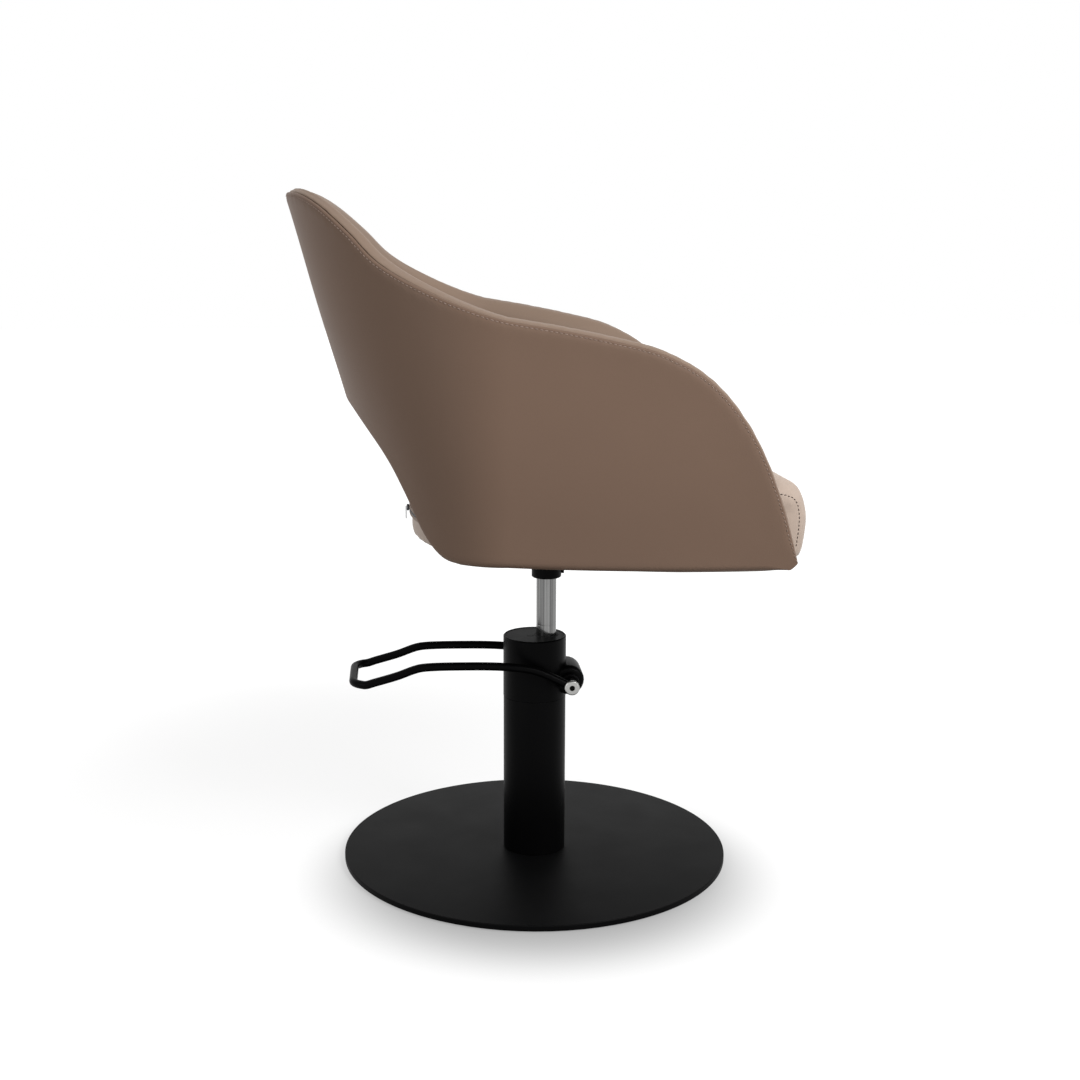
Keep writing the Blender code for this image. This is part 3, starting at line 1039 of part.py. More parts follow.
def make_zip():
    """Zip tape along the cushion's rear, and the slider with its pull."""
    inner = ZIP_ARC_R + GAP
    outer = inner + ZIP_T
    low, high = ZIP_Z - ZIP_H / 2, ZIP_Z + ZIP_H / 2
    arc_strip("cushion_zip", inner, outer, low, high, ZIP_HALF_L, ZIP_TAPE, SEAT_AXIS)
    back = outer + GAP
    front = back + ZIP_SLIDER_T
    low, high = ZIP_Z - ZIP_SLIDER_H / 2, ZIP_Z + ZIP_SLIDER_H / 2
    arc_strip("zip_slider", back, front, low, high, ZIP_SLIDER_W / 2, ZIP_METAL, ZIP_AXIS, 2)
    hang = front + GAP
    low, high = ZIP_Z - ZIP_PULL_L, ZIP_Z + ZIP_SLIDER_H / 4
    arc_strip("zip_pull", hang, hang + ZIP_PULL_T, low, high, ZIP_PULL_W / 2, ZIP_METAL, ZIP_AXIS, 2)


make_base()
make_pump()
make_lever()
make_plunger()
make_ram()
make_tub()
make_seat_mount()
make_cushion()
make_zip()
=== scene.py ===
# %% [markdown]
# # A hairdressing chair
# The chair is a padded tub on a hydraulic foot pump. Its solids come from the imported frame, and this lesson
# dresses them: every soft piece is made again as a fine surface, the turned metal gets smooth profiles, and
# every finish is a set of shader nodes. All sizes are metres. The chair faces +X and stands on z = 0.

# %% Load the frame
import math

import bmesh
import bpy
import numpy as np
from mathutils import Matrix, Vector
from mathutils.bvhtree import BVHTree


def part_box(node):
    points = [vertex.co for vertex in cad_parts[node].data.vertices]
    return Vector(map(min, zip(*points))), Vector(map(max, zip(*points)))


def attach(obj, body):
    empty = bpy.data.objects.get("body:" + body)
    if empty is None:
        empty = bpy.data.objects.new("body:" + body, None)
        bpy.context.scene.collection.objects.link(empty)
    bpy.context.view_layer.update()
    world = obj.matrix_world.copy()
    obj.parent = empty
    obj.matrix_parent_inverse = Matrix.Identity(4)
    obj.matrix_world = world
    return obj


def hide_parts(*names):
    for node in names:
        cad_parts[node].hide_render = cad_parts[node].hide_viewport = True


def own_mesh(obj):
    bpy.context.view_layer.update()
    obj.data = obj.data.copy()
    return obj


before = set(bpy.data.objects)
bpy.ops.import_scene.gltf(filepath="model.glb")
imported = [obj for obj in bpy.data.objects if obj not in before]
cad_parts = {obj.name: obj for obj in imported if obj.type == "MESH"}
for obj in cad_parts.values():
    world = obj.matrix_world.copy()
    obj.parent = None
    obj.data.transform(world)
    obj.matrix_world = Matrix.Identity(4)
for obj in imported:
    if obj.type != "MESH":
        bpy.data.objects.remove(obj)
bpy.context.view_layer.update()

SLOT_OF_NODE = {name: solid.data.materials[0].name for name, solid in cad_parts.items()}
scene = bpy.context.scene
scene.view_settings.view_transform = "Standard"

# %% [markdown]
# ## Camera
# The photograph was taken from the chair's right, a little above the seat. The camera's place was found by
# fitting the base plate's ellipse and the column's edges, so here it is only written down.

# %% Camera
lens = bpy.data.cameras.new("photo_camera")
lens.lens = 52.29
lens.sensor_width = 36.0
lens.shift_x = 0.0259
viewer = bpy.data.objects.new("photo_camera", lens)
viewer.location = (-0.18304, -2.15537, 0.89569)
viewer.rotation_euler = (math.pi / 2 - 0.19747, 0.0, -0.069813)
scene.collection.objects.link(viewer)
scene.camera = viewer

# %% [markdown]
# ## Shader helpers
# Node trees are quicker to read as formulas. A Value wraps one socket, so that a * b + 1 adds Math nodes, and
# a Finish holds one material, or the world, and makes any node from its type, its settings and its values.


# %% Shader helpers
class Value:
    """One shader socket: arithmetic with other values or numbers adds Math nodes."""

    def __init__(self, finish, socket):
        self.finish = finish
        self.socket = socket

    def math(self, operation, *others):
        """A Math node of this value and others, in that order."""
        values = dict(enumerate((self,) + others))
        return self.finish.node("ShaderNodeMath", {"operation": operation}, values)

    def __add__(self, other):
        return self.math("ADD", other)

    def __mul__(self, other):
        return self.math("MULTIPLY", other)

    def __sub__(self, other):
        return self.math("SUBTRACT", other)

    def within(self, low, high):
        """0 below low, 1 above high and a smooth step between."""
        return self.finish.node("ShaderNodeMapRange", {"interpolation_type": "SMOOTHSTEP"},
                                {"Value": self, "From Min": low, "From Max": high})


class Finish:
    """A new material, by its name, or a world: its shader, and one method for every other node."""

    def __init__(self, owner, shader="Principled BSDF", **sockets):
        self.material = bpy.data.materials.new(owner) if isinstance(owner, str) else owner
        self.material.use_nodes = True
        self.tree = self.material.node_tree
        self.shader = self.tree.nodes[shader]
        self.set(**sockets)

    def feed(self, socket, value):
        """Link a Value to a socket, or set the socket's own number or colour."""
        if isinstance(value, Value):
            self.tree.links.new(value.socket, socket)
        elif isinstance(value, tuple) and len(value) == 3 and socket.type == "RGBA":
            socket.default_value = (*value, 1.0)
        else:
            socket.default_value = value

    def set(self, **sockets):
        """Set the shader's sockets, with underscores for the spaces in their names."""
        for name, value in sockets.items():
            self.feed(self.shader.inputs[name.replace("_", " ")], value)

    def node(self, kind, settings=None, values=None, output=0):
        """A node of any type: its settings first, then its sockets."""
        made = self.tree.nodes.new(kind)
        for name, setting in (settings or {}).items():
            setattr(made, name, setting)
        for key, value in (values or {}).items():
            self.feed(made.inputs[key], value)
        return Value(self, made.outputs[output])

    def seen(self):
        """1 for rays from the camera, in reflections and through glass, and 0 for diffuse light."""
        camera, glossy, through = [self.node("ShaderNodeLightPath", output=f"Is {kind} Ray")
                                   for kind in ("Camera", "Glossy", "Transmission")]
        return camera.math("MAXIMUM", glossy).math("MAXIMUM", through)

    def place(self):
        """Object coordinates, which are metres on the resting chair."""
        return self.node("ShaderNodeTexCoord", output="Object")

    def axes(self, vector):
        """The three numbers of a vector."""
        split = self.node("ShaderNodeSeparateXYZ", None, {0: vector}).socket.node
        return [Value(self, socket) for socket in split.outputs]

    def noise(self, vector, scale, detail=2.0, roughness=0.5):
        """Soft noise from 0 to 1 with a number of waves for each metre."""
        values = {"Vector": vector, "Scale": scale, "Detail": detail, "Roughness": roughness}
        return self.node("ShaderNodeTexNoise", None, values)

    def cells(self, vector, scale):
        """Distance from the nearest cell point, with a number of cells for each metre."""
        return self.node("ShaderNodeTexVoronoi", None, {"Vector": vector, "Scale": scale})

    def mix(self, factor, first, second):
        """A colour between two others."""
        return self.node("ShaderNodeMix", {"data_type": "RGBA"}, {0: factor, 6: first, 7: second}, 2)

    def bump(self, height, distance, strength=1.0):
        """A normal from a height that is worth a distance in metres."""
        values = {"Height": height, "Distance": distance, "Strength": strength}
        return self.node("ShaderNodeBump", None, values)


# %% [markdown]
# ## Light, floor and background
# The photograph is a studio picture on white: one large soft light ahead of the chair on the camera's side,
# and pale surroundings. The world is white to the camera and in reflections, and only its diffuse light is
# dimmer on the camera's side, as in a real studio. The floor is a pale plane that shows as white to the
# camera and in reflections too. It keeps the chair's shadow, and a formula deepens the shade round the plate.

# %% World
DIMMEST = 0.26
world = bpy.data.worlds.new("studio")
scene.world = world
sky = Finish(world, "Background", Color=(1.0, 1.0, 1.0))
sky_y = sky.axes(sky.node("ShaderNodeTexCoord", output="Generated"))[1]
sky_dim = sky_y.within(-0.15, 0.75) * (1 - DIMMEST) + DIMMEST
sky.set(Strength=sky.seen().math("MAXIMUM", sky_dim))


# %% Lamps
def soft_lamp(name, place, aim, width, watts):
    """A square area lamp at a place, turned to aim at a point."""
    lamp = bpy.data.lights.new(name, "AREA")
    lamp.size = width
    lamp.energy = watts
    stand = bpy.data.objects.new(name, lamp)
    stand.location = place
    stand.rotation_euler = (Vector(aim) - Vector(place)).to_track_quat("-Z", "Y").to_euler()
    scene.collection.objects.link(stand)


soft_lamp("key_light", (1.9, -2.1, 2.3), (0.0, 0.0, 0.6), 1.6, 105.0)
soft_lamp("top_light", (-0.3, 0.4, 2.9), (0.0, 0.0, 0.5), 1.8, 9.0)
soft_lamp("fill_light", (-2.4, -1.9, 1.3), (0.0, 0.0, 0.6), 1.6, 24.0)

# %% Floor
BLACK = (0.0, 0.0, 0.0)
FLOOR_HALF, FLOOR_Z = 12.0, -0.0005
SHADE_NEAR, SHADE_IN, SHADE_OUT, SHADE_KEPT = 0.075, 0.195, 0.362, 0.48
floor_finish = Finish("white_floor", Roughness=0.9, Specular_IOR_Level=0.0, Emission_Strength=1.0)
floor_seen = floor_finish.seen()
floor_x, floor_y = floor_finish.axes(floor_finish.place())[:2]
floor_far = (floor_x * floor_x + floor_y * floor_y).within(0.3, 2.2)
shade_y = floor_y + SHADE_NEAR
shade_r = (floor_x * floor_x + shade_y * shade_y).math("SQRT")
floor_shade = shade_r.within(SHADE_IN, SHADE_OUT) * (1 - SHADE_KEPT) + SHADE_KEPT
floor_glow = floor_finish.mix(floor_far, (0.74, 0.74, 0.74), (1.0, 1.0, 1.0))
floor_white = floor_finish.mix(floor_shade, BLACK, floor_glow)
floor_pale = floor_finish.mix(floor_shade, BLACK, (0.28, 0.28, 0.28))
floor_finish.set(Base_Color=floor_pale, Emission_Color=floor_finish.mix(floor_seen, BLACK, floor_white))
floor_mesh = bpy.data.meshes.new("studio_floor")
floor_corners = [(x * FLOOR_HALF, y * FLOOR_HALF, FLOOR_Z) for x, y in ((-1, -1), (1, -1), (1, 1), (-1, 1))]
floor_mesh.from_pydata(floor_corners, [], [(0, 1, 2, 3)])
floor_mesh.materials.append(floor_finish.material)
floor = bpy.data.objects.new("studio_floor", floor_mesh)
scene.collection.objects.link(floor)

# %% [markdown]
# ## Finishes of the metal
# The pump, the base and the lever are powder coated: nearly black, with a fine orange peel that breaks up the
# shine. The rod is ground and polished steel with faint draw marks along it. Small fasteners are zinc-bright
# or blackened. The grain is noise in metres, so it keeps its size on every piece.


# %% Powder coat and steel
def tinted(colour, times, plus=0.0):
    """A colour with each channel multiplied and raised."""
    return tuple(channel * times + plus for channel in colour)


def coated(name, colour, roughness, shine):
    """Powder coat: an even dark colour, an orange peel of about a millimetre and a slightly uneven shine."""
    finish = Finish(name, Specular_IOR_Level=shine)
    place = finish.place()
    peel = finish.noise(place, 900.0, 3.0)
    cloud = finish.noise(place, 14.0, 3.0)
    finish.set(Base_Color=finish.mix(cloud * 0.6 + peel * 0.25, colour, tinted(colour, 1.7, 0.0008)),
               Roughness=cloud * 0.12 + (roughness - 0.06), Normal=finish.bump(peel, 0.00006, 0.7))
    return finish.material


def metal(name, colour, roughness, grain=1500.0):
    """Bare metal: a colour that varies a little, and fine machining marks in its shine."""
    finish = Finish(name, Metallic=1.0)
    place = finish.place()
    marks = finish.noise(place, grain, 2.0)
    cloud = finish.noise(place, 60.0, 2.0)
    finish.set(Base_Color=finish.mix(cloud, tinted(colour, 0.72), colour),
               Roughness=marks * 0.16 + (roughness - 0.08), Normal=finish.bump(marks, 0.00003, 0.5))
    return finish.material


BLACK_COAT = coated("black_powder_coat", (0.0008, 0.0008, 0.0009), 0.38, 0.035)
MATT_COAT = coated("matt_powder_coat", (0.0012, 0.0012, 0.0013), 0.48, 0.042)
BLACK_STEEL = coated("blackened_steel", (0.002, 0.002, 0.0022), 0.40, 0.02)
BRIGHT_STEEL = metal("bright_steel", (0.62, 0.62, 0.60), 0.30)
CAST_ALLOY = metal("cast_alloy", (0.42, 0.42, 0.43), 0.50, 700.0)
BRONZE = metal("bronze", (0.46, 0.30, 0.14), 0.34)
ZIP_METAL = metal("zip_metal", (0.085, 0.085, 0.088), 0.34)
RAM_X = sum(side.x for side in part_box("ram_rod")) / 2


# %% Polished rod
def polished_rod(name, axis_x):
    """Ground steel: the angle round the rod drives fine streaks, which hardly change along its height."""
    finish = Finish(name, Metallic=1.0)
    x, y, z = finish.axes(finish.place())
    angle = y.math("ARCTAN2", x - axis_x)
    along = finish.node("ShaderNodeCombineXYZ", None, {0: angle * 9.0, 1: z * 0.8, 2: 0.0})
    fine = finish.noise(along, 1.1, 4.0, 0.75)
    scuff = finish.noise(finish.place(), 120.0, 3.0)
    streak = fine.within(0.36, 0.66)
    finish.set(Base_Color=finish.mix(streak, (0.070, 0.070, 0.070), (0.255, 0.255, 0.252)),
               Roughness=scuff * 0.10 + 0.12, Normal=finish.bump(fine, 0.00005, 0.5))
    return finish.material


GROUND_STEEL = polished_rod("ground_steel", RAM_X)
print("the rod's axis is at x =", round(RAM_X, 4))

# %% [markdown]
# ## Finishes of the upholstery and the wood
# The tub and the cushion are covered in soft vinyl. Its surface has a fine leather grain, made of small
# pressed cells, and its colour hardly varies. Three tones are seen: dark taupe outside, a lighter taupe
# inside and a pale beige on the seat. Board and shell are plywood, stained dark so that no pale edge shows.


# %% Vinyl, cloth, rubber and plywood
def vinyl(name, colour, shine, roughness=0.50):
    """Soft vinyl: pressed cells of about a millimetre, finer wrinkles in them and slow drifts of tone."""
    finish = Finish(name, Specular_IOR_Level=shine)
    place = finish.place()
    drift = finish.noise(place, 5.0, 3.0)
    grain = finish.cells(place, 850.0)
    wrinkle = finish.noise(place, 2200.0, 2.0)
    deep = tinted(colour, 0.90)
    tone = finish.mix(drift, deep, tinted(colour, 1.10))
    finish.set(Base_Color=finish.mix(grain.within(0.25, 0.75) * 0.22, tone, deep),
               Roughness=drift * 0.10 + grain * 0.08 + (roughness - 0.09),
               Normal=finish.bump(grain * 0.7 + wrinkle * 0.3, 0.00010, 0.55))
    return finish.material


def woven(name, colour, threads):
    """Woven tape or cloth: two crossed sets of waves with a number of threads for each metre."""
    finish = Finish(name, Specular_IOR_Level=0.2)
    place = finish.place()
    waves = [(axis * (threads * 2 * math.pi)).math("SINE") for axis in finish.axes(place)]
    weave = (waves[0] + waves[1]) * waves[2] * 0.25 + 0.5
    fuzz = finish.noise(place, 600.0, 3.0)
    finish.set(Base_Color=finish.mix(weave * 0.5 + fuzz * 0.4, colour, tinted(colour, 1.4, 0.006)),
               Roughness=fuzz * 0.15 + 0.75, Normal=finish.bump(weave + fuzz * 0.5, 0.0002, 0.6))
    return finish.material


def rubber(name, colour):
    """Dull rubber with a fine uneven skin."""
    finish = Finish(name, Specular_IOR_Level=0.3)
    place = finish.place()
    skin = finish.noise(place, 1200.0, 3.0)
    finish.set(Base_Color=finish.mix(skin, colour, tinted(colour, 1.6)), Roughness=skin * 0.2 + 0.65,
               Normal=finish.bump(skin, 0.00008, 0.6))
    return finish.material


def plywood(name, pale, dark, ply=0.0015):
    """Plywood: plies of 1.5 mm in its height, and a grain drawn out along x."""
    finish = Finish(name, Specular_IOR_Level=0.3)
    place = finish.place()
    x, y, z = finish.axes(place)
    plies = (z * (math.pi / ply)).math("SINE").within(-0.3, 0.3)
    drawn = finish.node("ShaderNodeCombineXYZ", None, {0: x * 12.0, 1: y * 160.0, 2: z * 160.0})
    grain = finish.noise(drawn, 1.0, 4.0, 0.6)
    finish.set(Base_Color=finish.mix(plies * 0.35 + grain * 0.5, pale, dark), Roughness=grain * 0.2 + 0.55,
               Normal=finish.bump(grain, 0.0001, 0.5))
    return finish.material


OUTER_VINYL = vinyl("outer_vinyl", (0.170, 0.111, 0.080), 0.12)
INNER_VINYL = vinyl("inner_vinyl", (0.234, 0.168, 0.126), 0.12)
SEAT_VINYL = vinyl("seat_vinyl", (0.45, 0.36, 0.30), 0.12)
THREAD = woven("sewing_thread", (0.27, 0.20, 0.165), 900.0)
SEAT_THREAD = woven("seat_thread", (0.10, 0.075, 0.065), 900.0)
DUST_CLOTH = woven("dust_cloth", (0.010, 0.010, 0.010), 500.0)
ZIP_TAPE = woven("zip_tape", (0.26, 0.205, 0.17), 700.0)
BLACK_RUBBER = rubber("black_rubber", (0.012, 0.012, 0.012))
PLYWOOD = plywood("stained_plywood", (0.050, 0.036, 0.027), (0.026, 0.018, 0.013))

# %% [markdown]
# ## Finishes on the solids
# Every solid first takes the finish of its kind. The ones that are made again below are hidden later, so this
# also covers what is only seen through gaps and from underneath.

# %% Finish every solid
FINISH_OF_SLOT = {
    "black_coat": BLACK_COAT, "black_steel": BLACK_STEEL, "bright_steel": BRIGHT_STEEL,
    "ground_steel": GROUND_STEEL, "cast_alloy": CAST_ALLOY, "bronze": BRONZE, "black_rubber": BLACK_RUBBER,
    "plywood": PLYWOOD, "dust_cloth": DUST_CLOTH, "outer_vinyl": OUTER_VINYL, "inner_vinyl": INNER_VINYL,
    "seat_vinyl": SEAT_VINYL, "zip_tape": ZIP_TAPE, "zip_metal": ZIP_METAL,
}
FINISH_OF_NODE = {"base_plate": MATT_COAT}
for node_name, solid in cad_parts.items():
    solid.data.materials.clear()
    solid.data.materials.append(FINISH_OF_NODE.get(node_name, FINISH_OF_SLOT[SLOT_OF_NODE[node_name]]))
print(len(SLOT_OF_NODE), "solids have a finish")

# %% [markdown]
# ## Surfaces from grids
# A piece is an array of points in rows and columns. One helper turns such a grid into quads, joins the points
# that meet at seams and poles, and makes the object. It also hangs the piece on the empty of the body it
# rides on and hides the solids it stands for.


# %% Grid helpers
def grid_quads(rows, columns, close_rows=False, close_columns=False):
    """Quads between neighbouring rows and columns, where the last may join the first again."""
    index = np.arange(rows * columns).reshape(rows, columns)
    if close_rows:
        index = np.vstack([index, index[:1]])
    if close_columns:
        index = np.hstack([index, index[:, :1]])
    return np.stack([index[:-1, :-1], index[:-1, 1:], index[1:, 1:], index[1:, :-1]], -1).reshape(-1, 4)


def put_piece(name, points, quads, finish, body, nodes=(), slot=None, crease=None):
    """An object from points and quads: doubles joined, faces out, smooth below a crease angle."""
    mesh = bpy.data.meshes.new(name)
    mesh.from_pydata(np.reshape(points, (-1, 3)).tolist(), [], quads.tolist())
    made = bmesh.new()
    made.from_mesh(mesh)
    bmesh.ops.remove_doubles(made, verts=made.verts, dist=2e-6)
    bmesh.ops.dissolve_degenerate(made, edges=made.edges, dist=1e-6)
    bmesh.ops.recalc_face_normals(made, faces=made.faces)
    made.to_mesh(mesh)
    made.free()
    mesh.shade_smooth()
    if crease:
        mesh.set_sharp_from_angle(angle=math.radians(crease))
    mesh.materials.append(finish)
    piece = bpy.data.objects.new(name, mesh)
    scene.collection.objects.link(piece)
    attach(piece, body)
    if nodes:
        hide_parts(*nodes)
    slot = slot or (SLOT_OF_NODE[nodes[0]] if nodes else None)
    return piece


def put_rings(name, rings, finish, body, nodes=(), slot=None, crease=None):
    """An object from a grid whose rows are closed rings."""
    quads = grid_quads(*rings.shape[:2], False, True)
    return put_piece(name, rings, quads, finish, body, nodes, slot, crease)


def repeated(quads, count):
    """The quads of one small mesh, which uses every point up to its highest, for a number of copies."""
    return (quads[None] + (np.arange(count) * (quads.max() + 1))[:, None, None]).reshape(-1, 4)


def mesh_points(mesh):
    """A mesh's points as rows."""
    flat = np.empty(len(mesh.vertices) * 3)
    mesh.vertices.foreach_get("co", flat)
    return flat.reshape(-1, 3)


def smooth_curve(controls, steps=24):
    """Centripetal Catmull-Rom curve through the controls: chords' square roots are the knots."""
    knots = np.asarray(controls, float)
    ends = np.vstack([2 * knots[0] - knots[1], knots, 2 * knots[-1] - knots[-2]])
    p0, p1, p2, p3 = ends[:-3, None], ends[1:-2, None], ends[2:-1, None], ends[3:, None]
    t1 = np.linalg.norm(p1 - p0, axis=-1, keepdims=True) ** 0.5
    t2 = t1 + np.linalg.norm(p2 - p1, axis=-1, keepdims=True) ** 0.5
    t3 = t2 + np.linalg.norm(p3 - p2, axis=-1, keepdims=True) ** 0.5
    t = t1 + (t2 - t1) * np.linspace(0.0, 1.0, steps, endpoint=False)[None, :, None]

    def between(first, second, start, end):
        """Straight from one value to the next while t goes from start to end."""
        return ((end - t) * first + (t - start) * second) / (end - start)

    a1, a2, a3 = between(p0, p1, 0.0, t1), between(p1, p2, t1, t2), between(p2, p3, t2, t3)
    curve = between(between(a1, a2, 0.0, t2), between(a2, a3, t1, t3), t1, t2)
    return np.vstack([curve.reshape(-1, knots.shape[1]), knots[-1:]])


def lengths(curve):
    """Length along a curve at each of its points."""
    return np.concatenate([[0.0], np.cumsum(np.linalg.norm(np.diff(curve, axis=0), axis=1))])


def along_curve(curve, want, measure=None):
    """Rows of a curve's values at given lengths along it."""
    measure = lengths(curve) if measure is None else measure
    return np.stack([np.interp(want, measure, column) for column in curve.T], -1)


# %% [markdown]
# ## Turned metal
# The base, the column, the rod and the fasteners are turned pieces: a profile of radius and place along an
# axis, carried round a full circle. Each profile's corners are rounded a little, because the thin light line
# on such an edge is what makes metal look solid.


# %% Turning helpers
def rounded_profile(corners, steps=5):
    """A profile whose corners (radius, place, rounding) become small quadratic curves."""
    data = np.asarray(corners, float)
    point, cut = data[:, :2], data[:, 2]
    out = []
    for i in range(len(point)):
        before, after = point[i - 1] - point[i], point[(i + 1) % len(point)] - point[i]
        if cut[i] <= 0.0:
            out.append(point[i][None])
            continue
        start = point[i] + before / np.linalg.norm(before) * cut[i]
        end = point[i] + after / np.linalg.norm(after) * cut[i]
        t = np.linspace(0.0, 1.0, steps)[:, None]
        out.append((1 - t) ** 2 * start + 2 * t * (1 - t) * point[i] + t ** 2 * end)
    return np.vstack(out)


def ring_profile(bore, radius, start, end, cuts):
    """A ring's or disc's profile, from its bore at the start out and back to its bore at the end."""
    places = [(bore, start), (radius, start), (radius, end), (bore, end)]
    return rounded_profile([(*place, cut) for place, cut in zip(places, cuts)])


def turned(name, profile, centre, finish, body, nodes=(), along="Z", steps=96, slot=None, crease=35.0,
           sides=None):
    """Surface of revolution: (radius, place) at angle t is (radius cos t, radius sin t, place) on its axis.

    sides gives a number of flats for each point of the profile, where 0 is round.
    """
    radius, place = np.asarray(profile, float).T
    angle = np.linspace(0.0, 2 * math.pi, steps, endpoint=False)
    reach = radius[:, None] * np.ones(steps)
    if sides is not None:
        flats = np.maximum(np.asarray(sides), 3)[:, None]
        turn = np.mod(angle, 2 * math.pi / flats) - math.pi / flats
        reach = np.where(np.asarray(sides)[:, None] > 0, reach / np.cos(turn), reach)
    across, up = reach * np.cos(angle), reach * np.sin(angle)
    axis = place[:, None] * np.ones(steps)
    order = {"Z": (across, up, axis), "Y": (up, axis, across), "X": (axis, across, up)}[along]
    points = np.stack(order, -1) + np.asarray(centre)
    meets_axis = radius[0] < 1e-9 and radius[-1] < 1e-9
    quads = grid_quads(len(radius), steps, not meets_axis, True)
    return put_piece(name, points, quads, finish, body, nodes, slot, crease)


# %% Base plate and column
low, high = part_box("base_plate")
base_r = high.x
plate = ring_profile(0.0, base_r, high.z, low.z, (0, 0.0013, 0.0010, 0))
turned("floor_plate", plate, (0, 0, 0), MATT_COAT, "base", ["base_plate"], steps=256)
low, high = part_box("column_tube")
column_r, COLUMN_WALL = high.x, 0.0038
tube = ring_profile(column_r - COLUMN_WALL, column_r, high.z, low.z, (0.0003, 0.0009, 0.0006, 0.0003))
turned("column", tube, (0, 0, 0), BLACK_COAT, "base", ["column_tube"], steps=128)
print("base plate", round(2000 * base_r), "mm across, column", round(2000 * column_r, 1), "mm")

# %% [markdown]
# ## The tub's surface
# Seen from above the tub is half an ellipse behind and straight at the sides, its back leans, and it draws in
# towards the bottom. So any point of it is a run round the plan, a height and a depth in from the outside.
# The rim and the lower edge are curves in run and height, and every layer of the upholstery is a section
# carried along them from the near front corner round the back to the far one.

# %% Sizes of the tub
BOARD_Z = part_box("seat_board")[0].z
TURN_X = -0.055
REAR_REACH = 0.280
REAR_Z = BOARD_Z + 0.4532
LEAN = 0.2817
HALF_W = 0.285
WIDE_Z = BOARD_Z + 0.3162
BOTTOM_HALF_W = 0.262
BOTTOM_Z = BOARD_Z - 0.0133
FRONT_X = 0.3085
QUARTER_RUN = math.pi / 4 * (REAR_REACH + HALF_W)
RIM_ALONG_ARM = [(0.0, -0.0018), (0.0204, 0.0656), (0.0492, 0.1350), (0.0820, 0.1884),
                 (0.1227, 0.2304), (0.1779, 0.2609), (0.2386, 0.2773), (0.3035, 0.2907)]
RIM_ROUND_BACK = [(85.0, 0.3063), (67.4, 0.3332), (51.2, 0.3692), (42.4, 0.4049),
                  (32.6, 0.4352), (22.0, 0.4507), (0.0, 0.4547)]
ARCH_ROUND_BACK = [(0.0, 0.1815), (16.6, 0.1712), (31.0, 0.1372), (38.0, 0.1092),
                   (43.6, 0.0722), (50.0, 0.0240), (57.0, 0.0019), (66.0, -0.0048)]


# %% The tub's surface as a function
def tub_face(run, z):
    """Plan half ellipse to the quarter run, then straight ahead; its axes follow the lean and the draw-in."""
    angle = math.pi / 2 * np.clip(run / QUARTER_RUN, -1.0, 1.0)
    ahead = np.maximum(np.abs(run) - QUARTER_RUN, 0.0)
    rise = np.clip((z - BOTTOM_Z) / (WIDE_Z - BOTTOM_Z), 0.0, 1.0)
    half_w = BOTTOM_HALF_W + (HALF_W - BOTTOM_HALF_W) * (1 - (1 - rise) ** 1.6)
    x = TURN_X - (REAR_REACH - LEAN * (REAR_Z - z)) * np.cos(angle) + ahead
    return np.stack([x, half_w * np.sin(angle), z], -1)


def tub_normal(run, z, step=0.0005):
    """Outward unit normal: the cross product of the face's two small steps."""
    by_run = tub_face(run + step, z) - tub_face(run - step, z)
    by_z = tub_face(run, z + step) - tub_face(run, z - step)
    normal = np.cross(by_z, by_run)
    return normal / np.linalg.norm(normal, axis=-1, keepdims=True)


def tub_point(run, z, depth):
    """A point of the face, moved in along its normal by a depth."""
    return tub_face(run, z) - tub_normal(run, z) * depth[..., None]


# %% Rim and lower edge
STATIONS = 281
CORNER_IN = 0.012
BELLY_RISE, BELLY_X, BELLY_HALF = 0.0095, FRONT_X - 0.0885, 0.29
front_run = QUARTER_RUN + FRONT_X - TURN_X
rim_curve = smooth_curve([(front_run - back, BOARD_Z + up) for back, up in RIM_ALONG_ARM]
                         + [(turn / 90.0 * QUARTER_RUN, BOARD_Z + up) for turn, up in RIM_ROUND_BACK])
arch_curve = smooth_curve([(turn / 90.0 * QUARTER_RUN, BOARD_Z + up) for turn, up in ARCH_ROUND_BACK])
station = np.linspace(0.0, 1.0, STATIONS)
rim = along_curve(rim_curve, station * lengths(rim_curve)[-1])
edge_run = (front_run - CORNER_IN) * (1 - station)
edge_x = TURN_X + np.maximum(edge_run - QUARTER_RUN, 0.0)
belly = BOTTOM_Z + BELLY_RISE * ((BELLY_X - edge_x) / BELLY_HALF) ** 2
arch = np.interp(edge_run, arch_curve[:, 0], arch_curve[:, 1])
edge = np.stack([edge_run, np.where(edge_run < arch_curve[-1, 0], np.maximum(arch, belly), belly)], -1)
column = rim - edge
column_l = np.linalg.norm(column, axis=1)
rim_way = np.gradient(rim, axis=0)
rim_way[-1] = (-1.0, 0.0)
rim_way /= np.linalg.norm(rim_way, axis=1)[:, None]
rim_out = np.stack([rim_way[:, 1], -rim_way[:, 0]], -1)
slant = np.abs(np.sum(column * rim_out, axis=1)) / column_l
print("rim", round(2 * lengths(rim_curve)[-1], 3), "m long, wall", np.round(column_l.min(), 3), "to",
      np.round(column_l.max(), 3), "m high")


# %% Section helpers
def both_sides(half):
    """Half a tub's (station, ring) array made whole: the near side first, then the far one."""
    return np.concatenate([half, half[::-1][1:]])


def tub_rings(run_z, depth):
    """Points of the whole tub from half a tub's runs, heights and depths."""
    run = both_sides(run_z[..., 0])
    run[:len(run_z)] *= -1.0
    return tub_point(run, both_sides(run_z[..., 1]), both_sides(depth))


